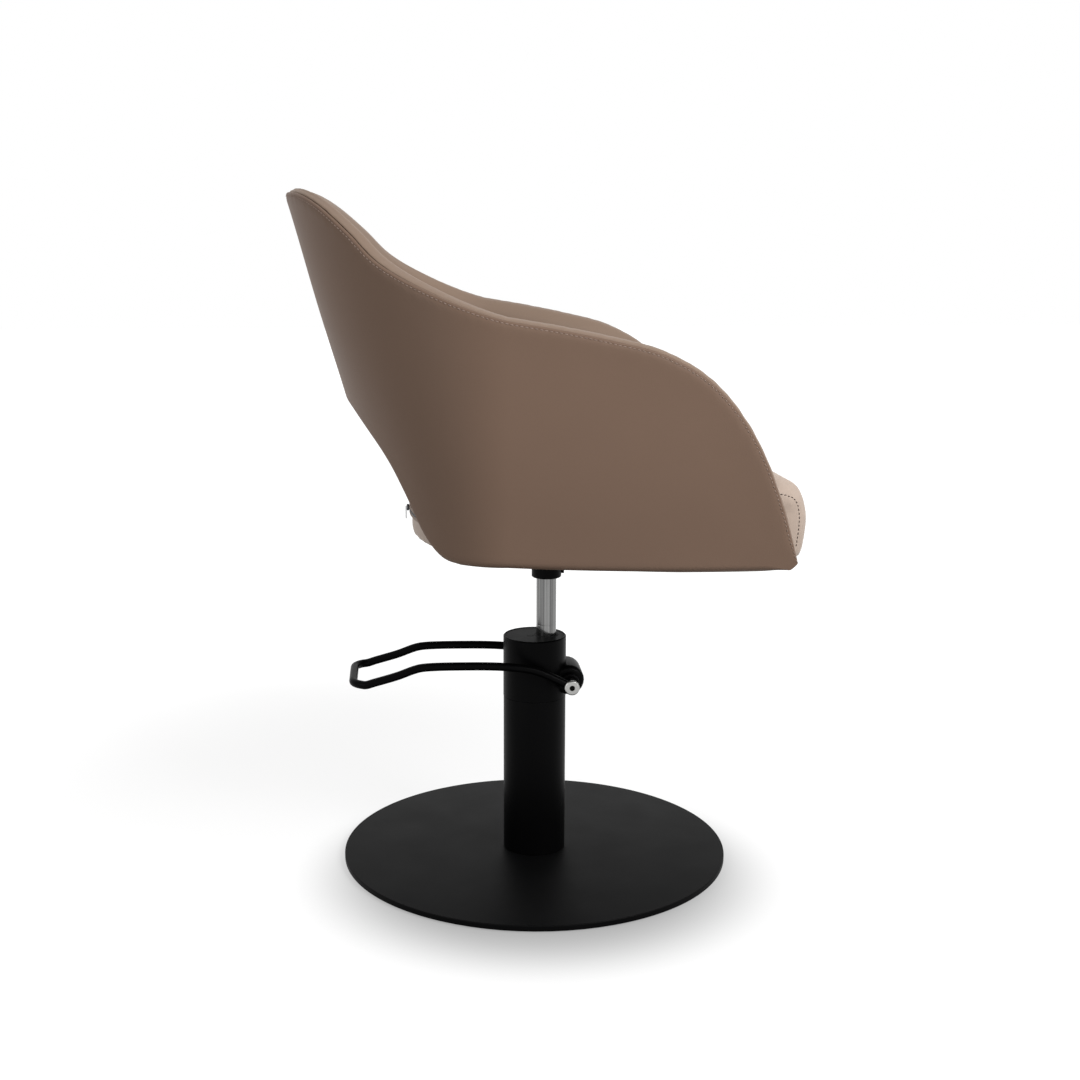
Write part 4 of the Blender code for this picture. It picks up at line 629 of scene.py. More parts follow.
def domed_ends(rings, height, steps=6):
    """Close a swept tube: past each end its ring shrinks by a cosine and moves on by a sine."""
    angle = np.linspace(0.0, math.pi / 2, steps + 1)[1:]
    caps = []
    for ring, next_ring in ((rings[0], rings[2]), (rings[-1], rings[-3])):
        middle = ring.mean(axis=0)
        way = middle - next_ring.mean(axis=0)
        way /= np.linalg.norm(way)
        caps.append(middle + (ring - middle) * np.cos(angle)[:, None, None]
                    + way * (height * np.sin(angle))[:, None, None])
    return np.concatenate([caps[0][::-1], rings, caps[1]])


def monotone(knots, rows, at):
    """Monotone cubic through each row's values: inner slopes are weighted harmonic means of the steps."""
    gap = np.diff(knots)
    step = np.diff(rows, axis=1) / gap
    first, second = step[:, :-1], step[:, 1:]
    w1, w2 = 2 * gap[1:] + gap[:-1], gap[1:] + 2 * gap[:-1]
    same = first * second > 0
    inner = np.where(same, (w1 + w2) * first * second / np.where(same, w1 * second + w2 * first, 1.0), 0.0)
    slope = np.hstack([step[:, :1], inner, step[:, -1:]])
    k = np.clip(np.searchsorted(knots, at, side="right") - 1, 0, len(gap) - 1)
    t = (at - knots[k]) / gap[k]
    h00, h10 = (1 + 2 * t) * (1 - t) ** 2, t * (1 - t) ** 2
    h01, h11 = t ** 2 * (3 - 2 * t), t ** 2 * (t - 1)
    values = rows[:, k] * h00 + rows[:, k + 1] * h01
    return values + (slope[:, k] * h10 + slope[:, k + 1] * h11) * gap[k]


def pucker(run, amount):
    """Small uneven gathers along a seam: a sum of three sines of the run with unlike wavelengths."""
    waves = ((1.0, 410.0, 0.0), (0.7, 263.0, 1.1), (0.5, 149.0, 2.3))
    return amount / 2.2 * sum(share * np.sin(run * rate + start) for share, rate, start in waves)


# %% [markdown]
# ## Outer cover
# The outside of the tub is one vinyl panel, drawn tight over the wooden shell. Its top edge is folded and
# sewn to the pad, which leaves a thin raised fold, a valley where the thread pulls, and a soft swell below.
# Its lower edge wraps under the shell. The section is written as distance along the wall and depth, and the
# same section is carried round the whole rim, so fold, valley and wrap follow it everywhere.

# %% Outer cover
STITCH_IN, VALLEY = 0.0036, 9
GATHERED = slice(5, 14)
FOOT_R, FOOT_DROP, ARCH_WRAP, PANEL_SWELL = 0.0110, 0.0014, 0.0019, 0.0012
fit = np.minimum(1.0, column_l / 0.06)[:, None]
fold = np.array([(0.0040, 0.0064), (0.0020, 0.0060), (0.0006, 0.0053), (-0.0002, 0.0043), (0.0001, 0.0032),
                 (0.0008, 0.0022), (0.0017, 0.0014), (0.0026, 0.0011), (0.0032, 0.0012),
                 (STITCH_IN, 0.0012), (0.0046, 0.0008), (0.0066, 0.0003), (0.0090, 0.0), (0.0120, -0.0001),
                 (0.0160, -0.0001), (0.0220, 0.0), (0.0290, 0.0)])
from_rim = column_l[:, None] - fold[:, 0] / slant[:, None] * fit
face_steps = np.linspace(0.0, 1.0, 44)[1:-1]
bend = np.linspace(math.pi / 2, 0.0, 7)
arch_out = ARCH_WRAP * np.clip((arch_curve[-1, 0] - edge_run) / 0.06, 0.0, 1.0)[:, None]
low_c = (FOOT_R - FOOT_DROP - FOOT_R * np.cos(bend)) * fit - arch_out
low_d = (FOOT_R - FOOT_R * np.sin(bend)) * np.ones_like(fit)
mid_c = from_rim[:, -1:] + (low_c[:, :1] - from_rim[:, -1:]) * face_steps
under = np.array([(-FOOT_DROP, 0.0130), (-0.0013, 0.0185), (-0.0003, 0.0185), (-0.0003, 0.0078),
                  (0.0010, 0.0060)])
back_steps = np.linspace(0.05, 0.95, 14)
under_c = under[:, 0] * fit - arch_out * (under[:, 0] < -0.001)
back_c = under_c[:, -1:] + (from_rim[:, :1] - under_c[:, -1:]) * back_steps
along_wall = np.hstack([from_rim, mid_c, low_c, under_c, back_c])
tall = np.clip((column_l[:, None] - 0.05) / 0.15, 0.0, 1.0)
swell = PANEL_SWELL * np.sin(math.pi * face_steps) ** 2 * tall ** 2
deep = np.hstack([fold[:, 1] * fit, -swell, low_d, under[:, 1] * np.ones_like(fit),
                  0.0058 - 0.0010 * back_steps * np.ones_like(fit)])
cover_runs = edge[:, None, :] + column[:, None, :] * (along_wall / column_l[:, None])[..., None]
deep[:, GATHERED] -= pucker(cover_runs[:, GATHERED, 0], 0.00022) * fit
cover_rings = domed_ends(tub_rings(cover_runs, deep), 0.0022)
cover = put_rings("tub_cover", cover_rings, OUTER_VINYL, "seat", ["outer_cover"])
print("outer cover:", len(cover.data.polygons), "faces")

# %% [markdown]
# ## Inner pad
# Inside the shell is a pad of foam that rolls over the rim to the seam. At the back it is thicker below and
# slimmer at the top than at the arms. Its section is a handful of places from the foot to the seam, joined by
# a monotone cubic so that the roll is round and never overshoots, and thin gathers run along the seam.

# %% Inner pad
BRACKET_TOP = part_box("frame_bracket_1")[1].z + 0.0035
BOARD_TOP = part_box("seat_board")[1].z
NOTCH_X = FRONT_X - 0.0605
PAD_D, BACK_SWELL, BACK_SLIM, PAD_CROWN = 0.050, 0.016, 0.020, 0.005
lifted = np.clip((NOTCH_X - edge_x) / (BRACKET_TOP - BOARD_TOP) + 1.0, 0.0, 1.0)
lift = np.maximum(BRACKET_TOP - edge[:, 1], 0.0) * lifted / column[:, 1]
start = edge + column * lift[:, None]
left = np.linalg.norm(rim - start, axis=1)
span = np.maximum(left, 0.090)
hook = np.minimum(0.012, column_l / 4)
blend = np.clip(2 * station - 0.9, 0.0, 1.0)
full = blend ** 2 * (3 - 2 * blend)
thick, slim = PAD_D + BACK_SWELL * full, PAD_D - BACK_SLIM * full
lining, seam = 0.0196, 0.0066
inside = thick - lining
one, zero = np.ones(STATIONS), np.zeros(STATIONS)
toe, top = 0.014 / span, 1 - 0.018 / span
section = [(zero, lining + inside / 2, 0.0, 0.0), (toe * 0.4, lining + inside * 0.74, 0.0, 0.0),
           (toe, lining + inside * 0.92, 0.0, 0.0), (toe + (top - toe) / 3, thick + 0.003, 0.0, 0.0),
           (toe + (top - toe) * 2 / 3, thick * 0.72 + slim * 0.28 + 0.003, 0.0, 0.0), (top, slim, 0.0, 0.6),
           (1 - 0.005 / span, slim - 0.005, 0.0, 1.0), (one, slim - 0.014, 0.75, 1.0),
           (one, slim / 2, 1.0, 1.0), (one, 0.0120 * one, 0.64, 1.0), (one, 0.0086 * one, 0.28, 0.6),
           (1 - 0.0004 / span, seam * one, 0.0, 0.0), (1 - 0.0045 / span, 0.0068 * one, 0.0, 0.0)]
knots = np.array([0.0, 0.007, 0.016, 0.100, 0.190, 0.270, 0.284, 0.294, 0.306, 0.320, 0.325, 0.329, 0.332])
fine = np.concatenate([np.linspace(0.0, 0.016, 7)[:-1], np.linspace(0.016, 0.262, 34)[:-1],
                       np.linspace(0.262, 0.332, 34)])
share = monotone(knots, np.stack([row[0] for row in section], 1), fine)
depth = monotone(knots, np.stack([row[1] for row in section], 1), fine)
crown = monotone(knots, np.array([[row[2] for row in section]]), fine) * PAD_CROWN
level = monotone(knots, np.array([[row[3] for row in section]]), fine)
tilt = tub_normal(rim[:, 0], rim[:, 1])[:, 2] - 0.06
rise = crown + level * tilt[:, None] * (depth - 0.006)
gather = np.exp(-((fine - 0.318) / 0.012) ** 2) * pucker(rim[:, :1], 0.0005)
wall = (rim - start)[:, None]
pad_runs = start[:, None] + wall * share[..., None] + rim_out[:, None] * (rise + gather)[..., None]
hidden = np.stack([1 - hook / left, 1 - hook / left, one * 0.66, one * 0.33, zero], 1)
hidden_d = np.array([seam, lining, lining, lining, lining]) * one[:, None]
hidden_runs = start[:, None] + wall * hidden[..., None]
pad_rings = tub_rings(np.concatenate([pad_runs, hidden_runs], 1), np.hstack([depth, hidden_d]))
pad = put_rings("tub_pad", domed_ends(pad_rings, 0.004), INNER_VINYL, "seat", ["inner_pad"])
print("inner pad:", len(pad.data.polygons), "faces")

# %% [markdown]
# ## Stitches
# A seam is read by its stitches. Each is a short bead of thread that dips into the vinyl at both ends, and
# all of them are one mesh: the bead's small grid is repeated at even lengths along the seam.

# %% Stitch helper
BEAD_STEPS, BEAD_SIDES = 7, 6
BEAD_QUADS = grid_quads(BEAD_STEPS, BEAD_SIDES, False, True)


def stitches(name, path, normal, finish, body, slot, pitch=0.0060, length=0.0046, thread_r=0.00055):
    """Beads along a path: at share s the radius is the root of 1 - s squared, and s squared sinks it."""
    measure = lengths(path)
    count = int(measure[-1] / pitch)
    middle = (np.arange(count) + 0.5) * measure[-1] / count
    s = np.linspace(-1.0, 1.0, BEAD_STEPS)
    at = middle[:, None] + s * length / 2
    spine = along_curve(path, at.ravel(), measure).reshape(count, BEAD_STEPS, 3)
    out = along_curve(normal, at.ravel(), measure).reshape(count, BEAD_STEPS, 3)
    way = np.gradient(spine, axis=1)
    way /= np.linalg.norm(way, axis=-1, keepdims=True)
    side = np.cross(way, out)
    side /= np.linalg.norm(side, axis=-1, keepdims=True)
    out = np.cross(side, way)
    body_r = thread_r * np.sqrt(np.maximum(1 - s ** 2, 0.0))[None, :, None, None]
    angle = np.linspace(0.0, 2 * math.pi, BEAD_SIDES, endpoint=False)[:, None]
    lift = (thread_r * (0.9 - 1.6 * s ** 2))[None, :, None, None]
    spine, side, out = spine[:, :, None], side[:, :, None], out[:, :, None]
    beads = spine + lift * out + body_r * (np.cos(angle) * side + np.sin(angle) * out)
    return put_piece(name, beads, repeated(BEAD_QUADS, count), finish, body, (), slot)


# %% Rim stitches
seam_run, seam_z = both_sides(cover_runs[:, VALLEY]).T
seam_run[:STATIONS] *= -1.0
rim_seam = tub_point(seam_run, seam_z, both_sides(deep[:, VALLEY]))
rim_thread = stitches("rim_stitches", rim_seam, tub_normal(seam_run, seam_z), THREAD, "seat", "outer_vinyl")
print("rim stitches:", len(rim_thread.data.polygons) // len(BEAD_QUADS))

# %% [markdown]
# ## Pump, rod and socket
# The pump's head, cap, screw and wiper and the seat's socket and plate have the right shape as solids, so
# they only get smooth faces: their triangles are joined, and sharp edges are kept by angle. The rod, the
# clamp screw and a black rubber ring at the cap's rim are turned; the ring's black also paints the shadow gap
# between cap and head. A fine groove runs round the rod, as in the photograph.


# %% Pump, rod and fasteners
def smooth_copy(name, node, body, crease=32.0):
    """A solid's own surface: its loose triangles joined, and smooth below a crease angle."""
    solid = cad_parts[node].data
    corners = np.empty(len(solid.loops), dtype=np.int64)
    solid.loops.foreach_get("vertex_index", corners)
    triangles = corners.reshape(-1, 3)
    return put_piece(name, mesh_points(solid), triangles, solid.materials[0], body, [node], None, crease)


for node_name, body in (("pump_head", "base"), ("pump_cap", "base"), ("filler_screw", "base"),
                        ("rod_wiper", "base"), ("seat_socket", "seat"), ("seat_plate", "seat")):
    smooth_copy(node_name + "_skin", node_name, body)

low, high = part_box("ram_rod")
rod_r = (high.x - low.x) / 2
GROOVE_Z, GROOVE_D = 0.3416, 0.0001
groove = [(rod_r, GROOVE_Z + 0.0012, GROOVE_D), (rod_r - GROOVE_D, GROOVE_Z + 0.0003, 0),
          (rod_r - GROOVE_D, GROOVE_Z - 0.0003, 0), (rod_r, GROOVE_Z - 0.0012, GROOVE_D)]
rod = rounded_profile([(0.0, high.z, 0), (rod_r, high.z, 0.0006)] + groove
                      + [(rod_r, low.z, 0.0006), (0.0, low.z, 0)])
turned("lift_rod", rod, (RAM_X, 0, 0), GROUND_STEEL, "seat", ["ram_rod"], steps=96)

low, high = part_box("pump_cap")
cap_r = (high.x - low.x) / 2
# A black rubber ring at the cap's rim: its black also paints the shadow gap between cap and head.
gap_shade_profile = ring_profile(cap_r - 0.0016, cap_r + 0.0001, high.z + 0.0003, high.z - 0.0006, (0.0002, 0.0002, 0, 0))
turned("cap_gap_shade_ring", gap_shade_profile, (0, 0, 0), BLACK_RUBBER, "base", (), "Z", 96, "black_rubber")

low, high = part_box("socket_screw")
screw_z = (low.z + high.z) / 2
screw_r = (high.z - low.z) / 2
SHANK_R, head_x = 0.0026, high.x - 0.0034
screw = rounded_profile([(0.0, low.x, 0), (SHANK_R, low.x, 0), (SHANK_R, head_x, 0),
                         (screw_r, head_x, 0.0003), (screw_r, high.x, 0.0005), (0.0017, high.x, 0.0002),
                         (0.0016, high.x - 0.0016, 0), (0.0, high.x - 0.0018, 0)])
turned("clamp_screw", screw, (0, 0, screw_z), BLACK_STEEL, "seat", ["socket_screw"], "X", 48)
print("rod", round(2000 * rod_r, 1), "mm thick")

# %% [markdown]
# ## Lever's axle
# The lever turns on an axle through the pump's head. On each side there are a bush that belongs to the pump,
# a hub at the end of the bar, and a bright bolt with a hexagon socket. All are turned on the axle, and
# the far ones mirror the near ones. The socket's painted shade is a step of the distance from the axle.

# %% Lever's hubs, bushes and bolts
AXLE_X = sum(side.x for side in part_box("lever_axle")) / 2
AXLE_Z = sum(side.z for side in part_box("lever_axle")) / 2
SOCKET_R, BUSH_BORE, HUB_BORE = 0.0034, 0.0065, 0.0063
bolt_finish = Finish("bolt_steel", Metallic=1.0)
place_x, _, place_z = bolt_finish.axes(bolt_finish.place())
bolt_x, bolt_z = place_x - AXLE_X, place_z - AXLE_Z
# Painted shade: the socket's inside is coloured near black, and the head round it is bright steel.
socket_shade_step = (bolt_x * bolt_x + bolt_z * bolt_z).math("SQRT").within(SOCKET_R, 0.0042)
bolt_marks = bolt_finish.noise(bolt_finish.place(), 900.0, 3.0)
bolt_finish.set(Base_Color=bolt_finish.mix(socket_shade_step, (0.004, 0.004, 0.004), (0.36, 0.36, 0.35)),
                Roughness=bolt_marks * 0.2 + 0.22, Normal=bolt_finish.bump(bolt_marks, 0.00004, 0.6))
BOLT_STEEL = bolt_finish.material


def axle_sizes(node):
    """A part's near and far end along the axle, from the middle of the pump, and its radius."""
    low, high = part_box(node)
    return *sorted((abs(low.y), abs(high.y))), (high.z - low.z) / 2


def on_axle(name, profile, side, finish, body, node, steps, sides=None):
    """A part turned on the lever's axle, on the near or the far side."""
    turned(name, profile * (1, side), (AXLE_X, 0, AXLE_Z), finish, body, [node], "Y", steps, sides=sides)


for side, word in ((-1, "near"), (1, "far")):
    inner, outer, radius = axle_sizes("axle_bush_" + word)
    bush = ring_profile(BUSH_BORE, radius, inner, outer, (0, 0.0006, 0.0014, 0.0003))
    on_axle("bush_" + word, bush, side, BLACK_COAT, "base", "axle_bush_" + word, 72)
    inner, outer, radius = axle_sizes("lever_hub_" + word)
    hub = ring_profile(HUB_BORE, radius, inner, outer, (0, 0.0005, 0.0005, 0))
    on_axle("hub_" + word, hub, side, BLACK_COAT, "lever", "lever_hub_" + word, 64)
    inner, outer, radius = axle_sizes("lever_bolt_" + word)
    head = [(0.0, outer - 0.0028, 0), (SOCKET_R, outer - 0.0028, 0), (SOCKET_R, outer - 0.0004, 0),
            (0.0039, outer, 0), (radius - 0.0013, outer, 0.0004), (radius, outer - 0.0012, 0.0005),
            (radius, inner, 0.0003), (0.0, inner, 0)]
    bolt = rounded_profile(head, 4)
    flats = np.where(np.arange(len(bolt)) < 3, 6, 0)
    on_axle("bolt_" + word, bolt, side, BOLT_STEEL, "lever", "lever_bolt_" + word, 96, flats)
print("lever turns on an axle at x =", round(AXLE_X, 4), "and z =", round(AXLE_Z, 4))

# %% [markdown]
# ## Foot lever
# The pedal is one round steel bar, bent cold: two arms rise from the hubs, run level beside the pump and dip
# to a tread behind it. Its centre line is a smooth curve through a few bends, with a circle carried along it.


# %% Foot lever
def swept(name, path, radius, finish, body, nodes, sides=20):
    """A circle along a path: one direction stays as close to upright as the path lets it."""
    way = np.gradient(path, axis=0)
    way /= np.linalg.norm(way, axis=1)[:, None]
    up = np.array([0.0, 0.0, 1.0]) - way * way[:, 2:]
    up /= np.linalg.norm(up, axis=1)[:, None]
    across = np.cross(way, up)
    angle = np.linspace(0.0, 2 * math.pi, sides, endpoint=False)[:, None]
    rings = path[:, None] + radius * (np.cos(angle) * up[:, None] + np.sin(angle) * across[:, None])
    return put_rings(name, domed_ends(rings, radius * 0.5), finish, body, nodes)


BAR_R, COAT = 0.005, 0.0008
ARM_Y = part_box("lever_bar")[1].y - BAR_R
CROSS_BACK, CROSS_RISE, CORNER_R = 0.304, 0.0075, 0.024
FIRST_BEND = np.array([-0.0495, 0.0230])
hub_end = FIRST_BEND * 0.0088 / np.linalg.norm(FIRST_BEND)
side_view = [hub_end, FIRST_BEND, (-0.0880, 0.0295), (-0.1520, 0.0320), (-0.2070, 0.0310), (-0.2185, 0.0285),
             (-0.2420, 0.0200), (-0.2740, 0.0110)]
bend_angle = np.linspace(0.0, math.pi / 2, 7)[1:]
corner = np.stack([CORNER_R - CROSS_BACK - CORNER_R * np.sin(bend_angle),
                   CORNER_R - ARM_Y - CORNER_R * np.cos(bend_angle), np.full(6, CROSS_RISE)], -1)
half_bar = smooth_curve([(x, -ARM_Y, z) for x, z in side_view] + corner.tolist(), 10)
bar_path = np.vstack([half_bar, half_bar[::-1] * (1, -1, 1)]) + (AXLE_X, 0.0, AXLE_Z)
bar_path = along_curve(bar_path, np.linspace(0.0, lengths(bar_path)[-1], 260))
swept("foot_bar", bar_path, BAR_R + COAT, BLACK_COAT, "lever", ["lever_bar"])
print("foot bar", round(lengths(bar_path)[-1], 3), "m long")

# %% [markdown]
# ## Return spring
# Inside the pump's head a coil spring round the plunger lifts the pedal again. It is one wire, wound seven
# times. The lever's rocker presses it together. Here it rides on the plunger as one piece with a mesh of its
# own.

# %% Return spring
WIRE_R, COIL_TURNS = 0.0007, 7
low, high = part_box("plunger_spring")
coil_l = high.z - low.z
coil_x, coil_r = (low.x + high.x) / 2, (high.y - low.y) / 2 - WIRE_R
coil_turn = np.linspace(0.0, COIL_TURNS * 2 * math.pi, COIL_TURNS * 28 + 1)
coil_z = low.z + WIRE_R + (coil_l - 2 * WIRE_R) * coil_turn / coil_turn[-1]
coil_path = np.stack([coil_x + coil_r * np.cos(coil_turn), coil_r * np.sin(coil_turn), coil_z], -1)
spring = swept("return_spring", coil_path, WIRE_R, BRIGHT_STEEL, "plunger", ["plunger_spring"], 8)
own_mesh(spring)

# %% [markdown]
# ## Seat cushion
# The cushion is a loose box cushion of foam in pale vinyl: a crowned top, sides that draw in a little, and a
# side panel sewn to the top by a seam that turns down at the front corners. Its outline is half the front, a
# corner, a straight side and half an ellipse behind, and its section runs from the crown over the edge to a
# lip that hides the board.

# %% Cushion's shape
low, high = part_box("seat_cushion")
SEAT_FRONT, SEAT_REAR, SEAT_HALF_W = high.x, low.x, high.y
SEAT_TURN_X, SEAT_CORNER, SEAT_EDGE, SEAT_LIP, SEAT_CROWN = -0.042, 0.045, 0.024, 0.024, 0.012
BULGE, BULGE_Z, BULGE_ABOVE, BULGE_BELOW = 0.0085, 0.525, 0.030, 0.045
SEAT_TOP, LIP_Z = high.z - SEAT_CROWN, low.z
SEAT_Z0 = BOARD_TOP + 0.0003


def cushion_edge(turn, inset):
    """Plan outline drawn in by an inset: turn runs from 0 at the front centre to 8 round the cushion.

    Its parts on each side are half the front, the corner, the straight side and a quarter of an ellipse.
    """
    wide, front, round_r = SEAT_HALF_W - inset, SEAT_FRONT - inset, SEAT_CORNER - inset
    part = np.minimum(turn, 8.0 - turn)
    arc = np.clip(part - 1.0, 0.0, 1.0) * math.pi / 2
    sweep = np.clip(part - 3.0, 0.0, 1.0) * math.pi / 2
    straight = front - round_r + (SEAT_TURN_X - front + round_r) * np.clip(part - 2.0, 0.0, 1.0)
    rear = SEAT_TURN_X - SEAT_REAR - inset
    x = np.where(part < 2.0, front - round_r + round_r * np.cos(arc), straight - rear * np.sin(sweep))
    front_y = (wide - round_r) * np.clip(part, 0.0, 1.0) + round_r * np.sin(arc)
    y = np.where(part < 2.0, front_y, wide * np.cos(sweep))
    return x, y * np.where(turn <= 4.0, 1.0, -1.0)


def ahead_share(x):
    """0 along the cushion's sides, 1 at its front and even between."""
    return np.clip((x - SEAT_FRONT + SEAT_CORNER) / SEAT_CORNER, 0.0, 1.0)


def front_bulge(x, z):
    """How far the foam stands ahead of the outline: a bell over the height, wider below, only in front."""
    reach = np.where(z > BULGE_Z, BULGE_ABOVE, BULGE_BELOW)
    return BULGE * ahead_share(x) * np.exp(-((z - BULGE_Z) / reach) ** 2)


def cushion_shape(shrink, count=220):
    """Closed grid of the cushion, drawn in by a shrink: a line over crown, side and underside per turn."""
    dense = np.linspace(0.0, 8.0, 2001)
    outline = np.stack(cushion_edge(dense, 0.0), -1)
    turn = np.interp(np.arange(count) / count * lengths(outline)[-1], lengths(outline), dense)[:, None]
    edge_x = cushion_edge(turn, 0.0)[0]
    inner_x = cushion_edge(turn, SEAT_LIP)[0]
    in_front = np.clip((edge_x - NOTCH_X - 0.026) / SEAT_LIP, 0.0, 1.0)
    behind = np.clip((SEAT_REAR + SEAT_LIP + 0.035 - inner_x) / SEAT_LIP * 3, 0.0, 1.0)
    lip = SEAT_Z0 - (SEAT_Z0 - LIP_Z) * np.maximum(in_front, behind) - 0.007 * ahead_share(edge_x)
    flat = np.ones_like(turn)
    drawn = 1 - ahead_share(edge_x)
    waist = (SEAT_Z0 + SEAT_TOP) / 2
    section = [(SEAT_EDGE, SEAT_TOP), (SEAT_EDGE * 0.45, SEAT_TOP - SEAT_EDGE * 0.22),
               (SEAT_EDGE * 0.10, SEAT_TOP - SEAT_EDGE * 0.65), (0.0, SEAT_TOP - SEAT_EDGE * 1.2),
               (0.004 * drawn, waist), (0.002 * drawn, lip + 0.0096), (SEAT_EDGE * 0.3, lip), (SEAT_LIP, lip)]
    insets = np.hstack([value * flat for value, _ in section])
    heights = np.hstack([value * flat for _, value in section])
    at = np.linspace(0.0, 7.0, 43)
    inset = monotone(np.arange(8.0), insets, at) + shrink
    height = monotone(np.arange(8.0), heights, at)
    x, y = cushion_edge(turn, inset - front_bulge(edge_x, height))
    side = np.stack([x, y, height - shrink], -1)
    middle = np.array([(SEAT_FRONT + SEAT_REAR) / 2, 0.0])
    scale = np.linspace(0.0, 1.0, 28)[:-1]
    top = middle + (side[:, :1, :2] - middle) * scale[:, None]
    rise = SEAT_TOP - shrink + SEAT_CROWN * (1 - scale ** 2)
    crown = np.concatenate([top, np.broadcast_to(rise[:, None], top.shape[:2] + (1,))], -1)
    scale = np.linspace(1.0, 0.0, 12)
    low_xy = middle + (side[:, -1:, :2] - middle) * scale[:, None]
    under = np.concatenate([low_xy, np.full(low_xy.shape[:2] + (1,), SEAT_Z0)], -1)
    return np.concatenate([crown, side, under], 1)


# %% [markdown]
# ## Seams of the cushion
# The seam is found before the foam swells, because sewn vinyl is held there and bulges between. One line
# runs from the lip at the near front corner, up, round into the top edge, along the side and round the back,
# and is mirrored for the far side.

# %% Cushion's seam line
SEAM_Z = 0.5615
climb = smooth_curve([(0.3222, 0.4880), (0.3230, 0.5100), (0.3230, 0.5400), (0.3205, 0.5500),
                      (0.3130, 0.5580), (0.3010, 0.5612), (0.2850, SEAM_Z)])
climb_arc = np.arccos(np.clip((climb[:, 0] - SEAT_FRONT + SEAT_CORNER) / SEAT_CORNER, 0.0, 1.0))
climb_out = SEAT_CORNER + front_bulge(climb[:, 0], climb[:, 1])
climb_x = SEAT_FRONT - SEAT_CORNER + climb_out * np.cos(climb_arc)
climb_y = SEAT_HALF_W - SEAT_CORNER + climb_out * np.sin(climb_arc)
round_x, round_y = cushion_edge(np.linspace(2.05, 4.0, 160), 0.002)
near_seam = np.vstack([np.stack([climb_x, -climb_y, climb[:, 1]], -1),
                       np.stack([round_x, -round_y, np.full_like(round_x, SEAM_Z)], -1)])
seat_seam = np.vstack([near_seam, near_seam[::-1][1:] * (1, -1, 1)])
seat_seam = along_curve(seat_seam, np.linspace(0.0, lengths(seat_seam)[-1], 700))
print("cushion seam", round(lengths(seat_seam)[-1], 3), "m long")


# %% [markdown]
# ## Foam under tension
# A cloth simulation swells the cushion. A slightly smaller copy is remeshed into even cells, held at its seam
# and its underside, and blown up by a low pressure without gravity. No point may move further than a cap, so
# the result keeps the cushion's size.


# %% Swelling by cloth simulation
def apart(points, path):
    """Distance of each point from the nearest point of a path, in blocks of rows."""
    blocks = np.array_split(points, max(1, len(points) // 4000))
    return np.concatenate([np.sqrt(((block[:, None] - path[None]) ** 2).sum(-1).min(1)) for block in blocks])


def evaluated(shell):
    """A new mesh with the object's modifiers applied."""
    return bpy.data.meshes.new_from_object(shell.evaluated_get(bpy.context.evaluated_depsgraph_get()))


def swollen(shell, held, voxel, cap, pressure=4.0, frames=20):
    """Remesh a closed object to even cells and let pressure swell what isn't held, by a cap at most."""
    remesh = shell.modifiers.new("even_cells", "REMESH")
    remesh.mode = "VOXEL"
    remesh.voxel_size = voxel
    even = evaluated(shell)
    shell.modifiers.remove(remesh)
    shell.data = even
    start = mesh_points(even)
    group = shell.vertex_groups.new(name="held")
    group.add(np.flatnonzero(held(start)).tolist(), 1.0, "REPLACE")
    cloth = shell.modifiers.new("foam", "CLOTH")
    settings = {"quality": 6, "mass": 0.25, "tension_stiffness": 30.0, "compression_stiffness": 30.0,
                "shear_stiffness": 12.0, "bending_stiffness": 2.0, "use_pressure": True,
                "uniform_pressure_force": pressure, "vertex_group_mass": "held"}
    for name, value in settings.items():
        setattr(cloth.settings, name, value)
    cloth.settings.effector_weights.gravity = 0.0
    cloth.collision_settings.use_collision = False
    cloth.point_cache.frame_start = 1
    cloth.point_cache.frame_end = frames
    for number in range(1, frames + 1):
        scene.frame_set(number)
    end = mesh_points(evaluated(shell))
    shell.modifiers.remove(cloth)
    shell.vertex_groups.clear()
    scene.frame_set(1)
    move = end - start
    far = np.linalg.norm(move, axis=1, keepdims=True)
    return start, start + move * np.minimum(1.0, cap / np.maximum(far, 1e-9))


# %% Seat cushion
SHRINK, CELL, SWELL_CAP = 0.0030, 0.006, 0.007
GROOVE_DEEP, GROOVE_WIDE = 0.0014, 0.0034
HELD_UNDER, HELD_STRIP = 0.004, 0.0065
seat_grid = cushion_shape(SHRINK)
cushion = put_piece("seat_pad", seat_grid, grid_quads(*seat_grid.shape[:2], True, False), SEAT_VINYL, "seat",
                    ["seat_cushion"])


def seat_held(points):
    """The underside, the lip's inside and a narrow strip along the seam."""
    return (points[:, 2] < SEAT_Z0 + HELD_UNDER) | (apart(points, seat_seam[::4]) < HELD_STRIP)


before, after = swollen(cushion, seat_held, CELL, SWELL_CAP)
cushion.data.vertices.foreach_set("co", after.ravel())
cushion.data.update()
finer = cushion.modifiers.new("finer", "SUBSURF")
finer.levels = 1
finer.render_levels = 1
skin = evaluated(cushion)
cushion.modifiers.remove(finer)
cushion.data = skin
spots = mesh_points(skin)
facing = np.empty(len(spots) * 3)
skin.vertex_normals.foreach_get("vector", facing)
pulled = GROOVE_DEEP * np.exp(-(apart(spots, seat_seam) / GROOVE_WIDE) ** 2)
spots -= facing.reshape(-1, 3) * pulled[:, None]
skin.vertices.foreach_set("co", spots.ravel())
skin.materials.clear()
skin.materials.append(SEAT_VINYL)
skin.shade_smooth()
skin.update()
swelling = np.linalg.norm(after - before, axis=1).max()
print("cushion:", len(skin.polygons), "faces, swollen by", round(1000 * swelling, 1), "mm")

# %% [markdown]
# ## Zip
# The side panel is closed behind by a zip, so that the cover comes off. Two woven tapes carry a row of small
# metal teeth, and the slider sits on them with a flat pull. The slider rides on its own joint along the tape.


